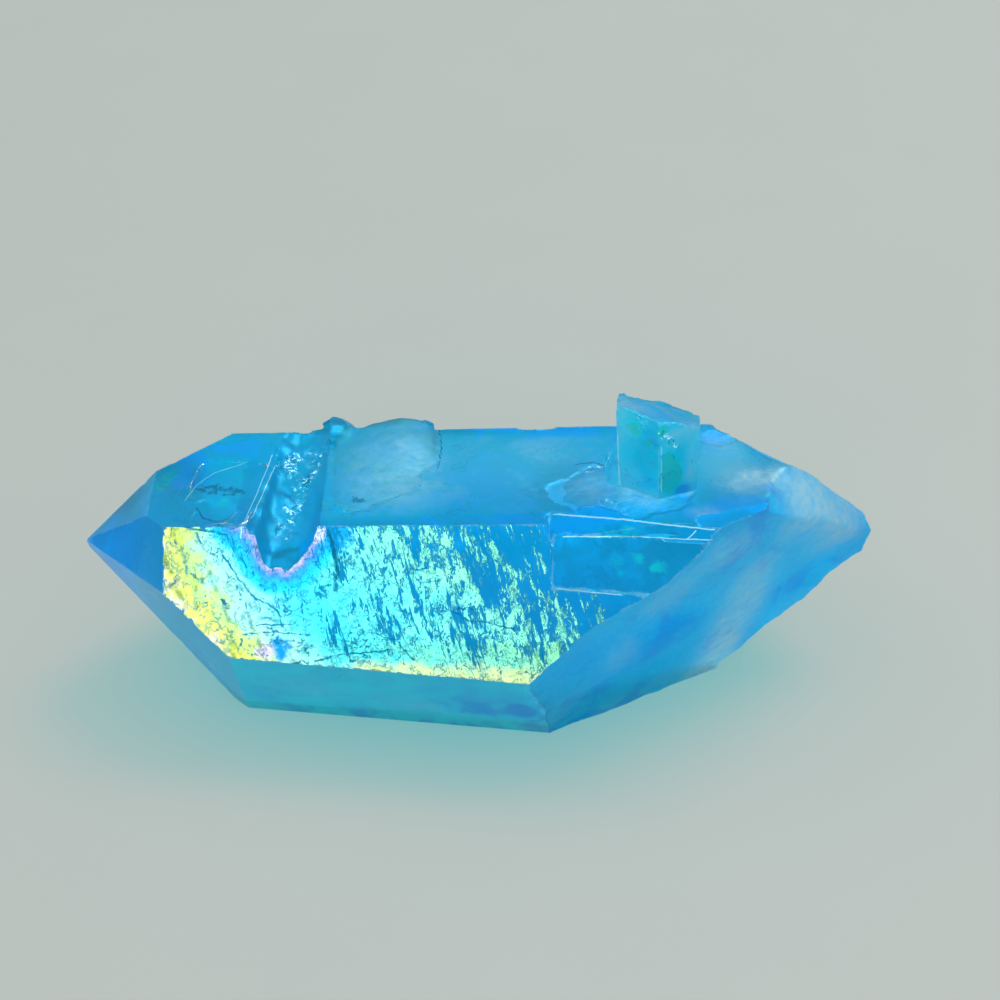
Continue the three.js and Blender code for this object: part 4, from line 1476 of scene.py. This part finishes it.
class AuraPainter:
    """Paints the crystal's one material in layers, led by what its mesh stores."""

    def __init__(self, look: AuraFinish) -> None:
        """Starts the material and reads the mesh.

        Args:
            look: its colours, sizes and shares.
        """
        self.look = look
        self.material = bpy.data.materials.new("aura_quartz_coat")
        self.material.use_nodes = True
        self.material.node_tree.nodes.clear()
        self.bench = bench = Bench(self.material.node_tree)
        self.crack = crack_group()
        own = bench.add("ShaderNodeTexCoord").outputs["Object"]
        self.place = self.face_place(own, 90)
        self.front = self.face_place(own, FACETS[Zone.RAINBOW].turn)
        self.x, self.v, _ = bench.parts(self.front)
        self.tone, self.sparkle = self.stored("tone")
        looks, self.grit = self.stored("looks")
        self.dullness, self.frost, self.rainbow = self.channels(looks)
        self.haze, self.depth, self.green = self.channels(self.stored("drifts")[0])
        self.ridge = bench.add("ShaderNodeAttribute", attribute_name="ridge").outputs["Fac"]
        self.notch = bench.add("ShaderNodeAttribute", attribute_name="notch").outputs["Fac"]
        self.speckles = bench.bare(self.place, look.speckles)
        drag = {"Vector": self.place, "Rotation": look.drag_turn}
        drag = bench.add("ShaderNodeVectorRotate", drag, rotation_type="EULER_XYZ").outputs[0]
        drag = bench.vector_sum("MULTIPLY", drag, look.drag_stretch)
        self.dragged = bench.bare(drag, look.dragged)

    def face_place(self, own: Source, turn: float) -> Socket:
        """Millimetres along a grown face, up across it and out of it.

        Args:
            own: the object's own coordinates.
            turn: the face's turn about the long axis, in degrees.

        Returns:
            The coordinates.
        """
        tilt = Euler((math.radians(turn - 90), 0, 0))
        shift = -(tilt.to_matrix() @ Vector(AXIS_MIDDLE))
        wires = {
            "Vector": own,
            "Location": tuple(shift),
            "Rotation": tuple(tilt),
            "Scale": (1 / MM, 1 / MM, 1 / MM),
        }
        return self.bench.add("ShaderNodeMapping", wires).outputs[0]

    def stored(self, name: str) -> tuple[Socket, Socket]:
        """A colour that the mesh stores, and its alpha."""
        outputs = self.bench.add("ShaderNodeAttribute", attribute_name=name).outputs
        return outputs["Color"], outputs["Alpha"]

    def channels(self, colour: Source) -> tuple[Socket, ...]:
        """The three channels of a colour."""
        return tuple(self.bench.add("ShaderNodeSeparateColor", {0: colour}).outputs)

    def build(self) -> bpy.types.Material:
        """Paints the layers from the body outwards, and makes the shader.

        Returns:
            The material.
        """
        bench, look = self.bench, self.look
        frosted = self.frosting()
        colour = bench.wash(frosted, self.body(), look.pale)
        rough = bench.blend(frosted, self.dullness, look.frosted_roughness)

        mirror = self.mirror()
        # Painted reflection: the shimmer colours go where the front face mirrors the window; its streak edges
        # get painted shade.
        colour = bench.paint(mirror, colour, self.shimmer())
        colour = bench.wash(self.cracks(mirror), colour, look.dull)
        rough = bench.blend(self.rainbow, rough, look.face_roughness)
        rough = bench.blend(mirror, rough, look.mirror_roughness)
        colour = bench.wash(self.hairlines(), colour, look.dull)

        # Dark lines and blots; the line along the patch's step is painted shade.
        colour = bench.wash(self.dark_marks(), colour, look.dull)
        # Painted highlights: thin lines along edges of the recess, the top and the stump.
        colour = bench.wash(self.painted_highlights(), colour, look.bright)
        # Pale line along crisp edges: partly chips, partly a painted edge highlight.
        colour = bench.wash(self.chips_and_edge_highlight(), colour, look.pale)

        # Crumbs: painted glints with painted shade beside them; the glints also glow by emission.
        sparkle = self.crumb_lanes()
        crumb = bench.bare(self.place, look.crumbs)
        painted_glint = bench.product(bench.mask(crumb, look.crumbs), sparkle)
        shade = bench.product(bench.step(crumb, *look.crumb_shades), sparkle)
        colour = bench.wash(shade, colour, look.dull)
        colour = bench.wash(painted_glint, colour, look.bright)
        self.shade(colour, rough, self.normal(sparkle), painted_glint)
        return self.material

    def body(self) -> Socket:
        """The coat's own colour, with deep blue and green drifts in it."""
        bench, look = self.bench, self.look
        deep = bench.product(bench.grain(self.place, look.drifting), self.depth)
        colour = bench.wash(deep, self.tone, look.deep)
        green = bench.sum_of("ADD", self.green, bench.grain(self.place, look.green_border))
        colour = bench.wash(bench.step(green, *look.green_cover), colour, look.green)
        speckle = bench.product(bench.mask(self.speckles, look.speckles), self.grit, look.speckle_share)
        return bench.wash(speckle, colour, look.deep)

    def frosting(self) -> Socket:
        """Where the crystal is milky: clouds on grown faces, dragged grain on broken ones."""
        bench, look = self.bench, self.look
        size, cover, flecks = look.clouds
        cloud = place_group(bench, cloud_group(), Place=self.place, Size=size, Cover=cover, Flecks=flecks)
        grain = bench.mask(self.dragged, look.dragged)
        cloud = bench.blend(bench.product(self.grit, look.dragged_share), cloud, grain)
        cloud = bench.sum_of("MULTIPLY_ADD", cloud, *look.frost_gain)
        return bench.clamped(bench.product(cloud, bench.product(self.frost, self.haze)))

    def mirror(self) -> Socket:
        """Where the front face's coat is smoother and shines, with the window's reflection partly painted in.
        """
        bench, look = self.bench, self.look
        wander = look.border_wander
        ragged = bench.sum_of("MULTIPLY_ADD", bench.bare(self.front, look.border), wander, -wander / 2)
        inner = bench.sum_of("ADD", ragged, self.ridge)
        border = bench.step(inner, -look.border_width, look.border_width)
        reach = bench.sum_of("MULTIPLY_ADD", self.v, look.reach_slope, self.x)
        low = bench.step(self.v, *look.low_cover)
        tree = streak_group()
        shine: Source = 1.0
        for marks in (look.streaks, look.flecks):
            streaked = place_group(
                bench,
                tree,
                Place=self.front,
                Slant=marks.slant,
                Width=marks.width,
                Length=marks.length,
                Cover=bench.sum_of("ADD", bench.ramp_value(reach, marks.cover), low),
                Softness=marks.softness,
            )
            shine = bench.product(shine, streaked)
        return bench.product(shine, bench.product(self.rainbow, border))

    def shimmer(self) -> Socket:
        """The large front face's colours."""
        bench, coat = self.bench, self.look.coat
        waver = bench.grain(self.front, coat.waver)
        fleck = bench.bare(self.front, coat.fleck)
        blurred = bench.product(bench.mask(fleck, coat.fleck), bench.step(self.x, *coat.fleck_along))
        along, up, shift = coat.border_slope
        slope = bench.sum_of("MULTIPLY_ADD", self.v, up, shift)
        slope = bench.sum_of("MULTIPLY_ADD", self.x, along, slope)
        widening = bench.step(self.v, *coat.border_widening)
        beside = bench.product(bench.sum_of("ADD", self.x, coat.border_x), widening)
        inward = bench.sum_of("MINIMUM", beside, slope)
        inward = bench.sum_of("ADD", inward, bench.sum_of("ADD", waver, blurred))
        colour = bench.ramp(bench.sum_of("DIVIDE", inward, coat.band_span), coat.bands)

        near = bench.sum_of("MULTIPLY_ADD", waver, coat.fringe_waver, self.notch)
        near = bench.sum_of("DIVIDE", near, coat.fringe_width)
        colour = bench.paint(bench.step(near, *coat.fringe_end), colour, bench.ramp(near, coat.fringe))
        edge = bench.step(fleck, coat.fleck.start, coat.fleck.end, -1.0, 1.0)
        for spots, tint in ((coat.blues, coat.blue), (coat.blushes, coat.blush)):
            for spot in spots:
                colour = bench.wash(self.spot(spot, (self.x, self.v), edge), colour, tint)
        low = bench.step(bench.sum_of("MULTIPLY_ADD", waver, coat.cream_waver, self.v), *coat.cream_from)
        low = bench.product(low, bench.step(self.x, *coat.cream_along))
        return bench.wash(low, colour, coat.cream)

    def cracks(self, mirror: Source) -> Socket:
        """Fine cracks in the shining coat, and painted shade round the edges of its shining streaks.

        Args:
            mirror: where the coat shines.

        Returns:
            The mask.
        """
        bench, look = self.bench, self.look
        fine = bench.product(self.crackle(self.front, look.fine_cracks), look.fine_share)
        cracked = bench.most(fine, self.crackle(self.front, look.broad_cracks))
        cracked = bench.product(cracked, bench.step(self.x, *look.crack_along), mirror)
        # Painted shade round the edges of the shining streaks.
        edge_shade = bench.product(mirror, bench.without(mirror), look.edge_shade_gain)
        return bench.most(cracked, edge_shade)

    def hairlines(self) -> Socket:
        """Faint cracks on the other grown faces."""
        bench, look = self.bench, self.look
        free = bench.without(bench.most(self.rainbow, self.grit))
        return bench.product(self.crackle(self.place, look.hairs), free, look.hair_share)

    def crackle(self, where: Source, cracks: Crackle) -> Socket:
        """Fine cracks where noise crosses its middle, apart from where another noise is low.

        Args:
            where: places on the face.
            cracks: their sizes.

        Returns:
            The mask.
        """
        bench = self.bench
        level = bench.sum_of("SUBTRACT", bench.bare(where, cracks.path()), MIDDLE[0])
        line = bench.step(
            bench.sum_of("ABSOLUTE", level), cracks.width * cracks.crisp, cracks.width, 1.0, 0.0
        )
        return bench.product(line, bench.grain(where, cracks.kept()))

    def dark_marks(self) -> Socket:
        """The placed dark lines, broken by gaps, and the blots on the top."""
        bench, look = self.bench, self.look
        sets = ((DARK_CRACKS, self.front, FRONT_RISE), (DARK_LINES, self.place, TOP_RISE))
        lines = bench.product(self.lines(sets, look.dark_wander), bench.step(self.speckles, *look.line_gaps))
        x, y, z = bench.parts(self.place)
        edge = bench.step(self.speckles, *look.blot_wander)
        blots: Source = 0.0
        for spot in BLOTS:
            blots = bench.most(blots, self.spot(spot, (x, y), edge))
        return bench.most(lines, bench.product(blots, bench.step(z, *look.blot_height)))

    def painted_highlights(self) -> Socket:
        """The placed painted highlight lines."""
        sets = (
            (RECESS_HIGHLIGHTS, self.front, FRONT_RISE),
            (TOP_HIGHLIGHTS, self.place, TOP_RISE),
            (STUMP_HIGHLIGHTS, self.front, STUMP_RISE),
        )
        return self.lines(sets, self.look.highlight_wander)

    def lines(self, sets: Sequence[tuple[Sequence[Crack], Source, float]], wander: float) -> Source:
        """Placed lines that wander a little.

        Args:
            sets: lines, the places that they are on, and how far out they start.
            wander: how far they stray, in millimetres.

        Returns:
            The mask.
        """
        bench, look = self.bench, self.look
        total: Source = 0.0
        for cracks, where, lowest in sets:
            wires = {"Vector": where, "Scale": look.line_bends, "Detail": look.line_detail}
            shift = bench.add("ShaderNodeTexNoise", wires).outputs[1]
            shift = bench.scaled(bench.vector_sum("SUBTRACT", shift, MIDDLE), wander)
            traced = self.trace(cracks, bench.vector_sum("ADD", where, shift))
            near = bench.step(bench.parts(where)[2], lowest - look.line_fade, lowest)
            total = bench.most(total, bench.product(traced, near))
        return total

    def trace(self, cracks: Sequence[Crack], where: Source) -> Source:
        """A mask of lines.

        Args:
            cracks: the lines.
            where: places on the lines' own face.

        Returns:
            The mask.
        """
        total: Source = 0.0
        for crack in cracks:
            for start, end in zip(crack.places, crack.places[1:]):
                ends = {"Start": (*start, 0.0), "End": (*end, 0.0)}
                line = place_group(self.bench, self.crack, Place=where, Width=crack.width, **ends)
                total = self.bench.most(total, line)
        return total

    def spot(self, spot: Spot, where: tuple[Source, Source], waver: Source) -> Socket:
        """A soft spot with an uneven edge.

        Args:
            spot: the spot.
            where: the two coordinates that its places count in.
            waver: what moves its edge in and out.

        Returns:
            The mask.
        """
        bench = self.bench
        across = bench.sum_of("DIVIDE", bench.sum_of("SUBTRACT", where[0], spot.x), spot.radius_x)
        up = bench.sum_of("DIVIDE", bench.sum_of("SUBTRACT", where[1], spot.y), spot.radius_y)
        far = bench.sum_of("MULTIPLY_ADD", across, across, bench.product(up, up))
        ragged = bench.sum_of("MULTIPLY_ADD", waver, self.look.spot_wander, far)
        return bench.step(ragged, *self.look.spot_edge)

    def chips_and_edge_highlight(self) -> Socket:
        """Pale line along the crisp edges: partly chips, partly a painted edge highlight."""
        look = self.look
        wires = {"Place": self.place, "Distance": self.ridge, "Width": look.edge_line_width, "Chips": look.chips}
        return self.bench.product(place_group(self.bench, chip_and_highlight_group(), **wires), look.edge_line_share)

    def crumb_lanes(self) -> Socket:
        """Where loose crumbs lie in clumps."""
        bench, look = self.bench, self.look
        below = bench.step(bench.parts(self.place)[2], *look.crumb_below)
        lanes = bench.product(self.trace(CRUMBS, self.place), below)
        lanes = bench.most(lanes, self.trace(STUMP_CRUMBS, self.front))
        return bench.product(lanes, self.sparkle, bench.grain(self.place, look.clumps))

    def normal(self, sparkle: Source) -> Socket:
        """Which way the surface faces: its grain, and the crumbs, each turned its own way.

        Args:
            sparkle: where the crumbs lie.

        Returns:
            The normal.
        """
        bench, look = self.bench, self.look
        height = bench.product(self.dragged, bench.sum_of("MULTIPLY_ADD", self.grit, *look.bump_gain))
        wires = {"Height": height, "Strength": look.bump_strength, "Distance": look.bump_depth * MM}
        bump = bench.add("ShaderNodeBump", wires).outputs[0]
        wires = {"Vector": self.place, "Scale": look.crumb_cells}
        cells = bench.add("ShaderNodeTexVoronoi", wires).outputs["Color"]
        tilt = bench.vector_sum("SUBTRACT", cells, MIDDLE)
        tilt = bench.scaled(tilt, bench.product(sparkle, look.crumb_tilt))
        return bench.vector_sum("NORMALIZE", bench.vector_sum("ADD", bump, tilt))

    def shade(self, colour: Source, rough: Source, facing: Source, painted_glint: Source) -> None:
        """Makes the shader, and lets soft light and shadows pass through.

        Args:
            colour: the coat's colour.
            rough: how dull it is.
            facing: which way it faces.
            painted_glint: painted glints, where crumbs shine by themselves through emission.
        """
        bench, look = self.bench, self.look
        wires = {
            "Base Color": colour,
            "Roughness": rough,
            "Normal": facing,
            "Metallic": look.metallic,
            "Transmission Weight": look.transmission,
            "IOR": look.ior,
            "Specular Tint": (*look.glint, 1),
            "Specular IOR Level": look.gloss,
            # Painted glints: the crumbs glow by emission, though they are no lamp.
            "Emission Color": bench.wash(painted_glint, (0.0, 0.0, 0.0, 1.0), look.bright),
            "Emission Strength": look.painted_glint,
        }
        surface = bench.add("ShaderNodeBsdfPrincipled", wires).outputs[0]
        clear = bench.add("ShaderNodeBsdfTransparent", {"Color": (*look.passing, 1)}).outputs[0]
        ray = bench.add("ShaderNodeLightPath")
        for kind in ("Is Shadow Ray", "Is Diffuse Ray"):
            wires = {0: ray.outputs[kind], 1: surface, 2: clear}
            surface = bench.add("ShaderNodeMixShader", wires).outputs[0]
        wires = {"Color": (*look.absorption, 1), "Density": look.density}
        inside = bench.add("ShaderNodeVolumeAbsorption", wires).outputs[0]
        bench.add("ShaderNodeOutputMaterial", {"Surface": surface, "Volume": inside})
        self.material.cycles.emission_sampling = "NONE"


# ---- Stage -------------------------------------------------------------------------------------------


@dataclass(frozen=True)
class SoftBox:
    """A soft box: where it hangs and its width and height in millimetres, and how bright its face is."""

    name: str
    at: Place
    size: tuple[float, float]
    radiance: float


@dataclass
class Studio:
    """The pale table, the soft light and the camera."""

    table_half: float = 2.5
    table_colour: Colour = (0.335, 0.36, 0.345)
    table_roughness: float = 0.7
    mottle_scale: float = 60.0
    mottle_shade: float = 0.97
    sky: Colour = (0.96, 1.0, 0.985)
    sky_low: float = 0.45
    sky_high: float = 1.2
    sky_behind: float = 0.35
    sky_rise: tuple[float, float] = (0.0, 0.6)
    sky_turn: tuple[float, float] = (0.1, 0.7)
    camera_at: Place = (8.687, -134.12, 110.09)
    camera_to: Place = (0.797, 9.216, 10.0)
    lens: float = 79.2
    sensor: float = 36.0
    boxes: tuple[SoftBox, ...] = (
        SoftBox("window", (-86.0, -369.0, 161.0), (124.0, 100.0), 5.4),
        SoftBox("lamp", (400.0, 400.0, 1000.0), (520.0, 440.0), 10.5),
        SoftBox("fill", (80.0, -420.0, 40.0), (300.0, 60.0), 7.0),
    )
    boxes_to: Place = (-7.2, -8.9, 13.0)

    def build(self) -> None:
        """Makes all of it."""
        self.table()
        self.light()
        for box in self.boxes:
            self.soft_box(box)
        self.camera()

    def table(self) -> None:
        """A pale table that the crystal lies on."""
        half = self.table_half
        corners = [(-half, -half, 0), (half, -half, 0), (half, half, 0), (-half, half, 0)]
        data = bpy.data.meshes.new("table")
        data.from_pydata(corners, [], [(0, 1, 2, 3)])
        table = bpy.data.objects.new("table", data)
        bpy.context.scene.collection.objects.link(table)
        material = bpy.data.materials.new("pale_table")
        material.use_nodes = True
        material.node_tree.nodes.clear()
        bench = Bench(material.node_tree)
        own = bench.add("ShaderNodeTexCoord").outputs["Object"]
        mottle = bench.noise(own, self.mottle_scale, detail=3.0, roughness=0.5)
        shade = tuple(channel * self.mottle_shade for channel in self.table_colour)
        paint = bench.wash(mottle, (*shade, 1), self.table_colour)
        wires = {"Base Color": paint, "Roughness": self.table_roughness}
        shader = bench.add("ShaderNodeBsdfPrincipled", wires)
        bench.add("ShaderNodeOutputMaterial", {"Surface": shader.outputs[0]})
        data.materials.append(material)

    def light(self) -> None:
        """Pale light from all round, strongest from above and weakest from behind."""
        world = bpy.data.worlds.new("studio")
        world.use_nodes = True
        bench = Bench(world.node_tree)
        way = bench.add("ShaderNodeTexCoord").outputs["Generated"]
        _, back, up = bench.parts(way)
        strength = bench.step(up, *self.sky_rise, self.sky_low, self.sky_high)
        behind = bench.step(back, *self.sky_turn, 1.0, self.sky_behind)
        sky = world.node_tree.nodes["Background"]
        bench.feed(sky.inputs["Color"], (*self.sky, 1))
        bench.feed(sky.inputs["Strength"], bench.product(strength, behind))
        bpy.context.scene.world = world

    def soft_box(self, box: SoftBox) -> None:
        """Hangs a soft box."""
        width, height = (side * MM for side in box.size)
        data = bpy.data.lights.new(box.name, "AREA")
        data.shape = "RECTANGLE"
        data.size = width
        data.size_y = height
        data.energy = box.radiance * math.pi * width * height
        self.hang(data, box.at, self.boxes_to)

    def camera(self) -> None:
        """The camera, above the crystal and in front of it."""
        data = bpy.data.cameras.new("camera")
        data.lens = self.lens
        data.sensor_width = self.sensor
        data.clip_start = 0.01
        bpy.context.scene.camera = self.hang(data, self.camera_at, self.camera_to)

    @staticmethod
    def hang(data: bpy.types.Light | bpy.types.Camera, at: Place, to: Place) -> bpy.types.Object:
        """Hangs a light or the camera at a place and points it at another, both in millimetres."""
        hung = bpy.data.objects.new(data.name, data)
        hung.location = Vector(at) * MM
        hung.rotation_euler = (Vector(to) - Vector(at)).to_track_quat("-Z", "Y").to_euler()
        bpy.context.scene.collection.objects.link(hung)
        return hung


def tune_render() -> None:
    """Sets how light is followed and shown."""
    scene = bpy.context.scene
    scene.view_settings.view_transform = "Standard"
    scene.cycles.max_bounces = 16
    scene.cycles.transmission_bounces = 16
    scene.cycles.glossy_bounces = 12
    scene.cycles.blur_glossy = 0.3
    scene.cycles.sample_clamp_indirect = 6.0


def main() -> None:
    """Builds the crystal, its table, lights and camera."""
    logging.basicConfig(level=logging.INFO, format="%(message)s")
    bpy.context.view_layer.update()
    studio = Studio()
    studio.build()
    tune_render()
    piece = QuartzCrystal().build(AuraPainter(AuraFinish()).build())
    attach(piece, "root")
    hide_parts(NODE_NAME)


if __name__ == "__main__":
    main()
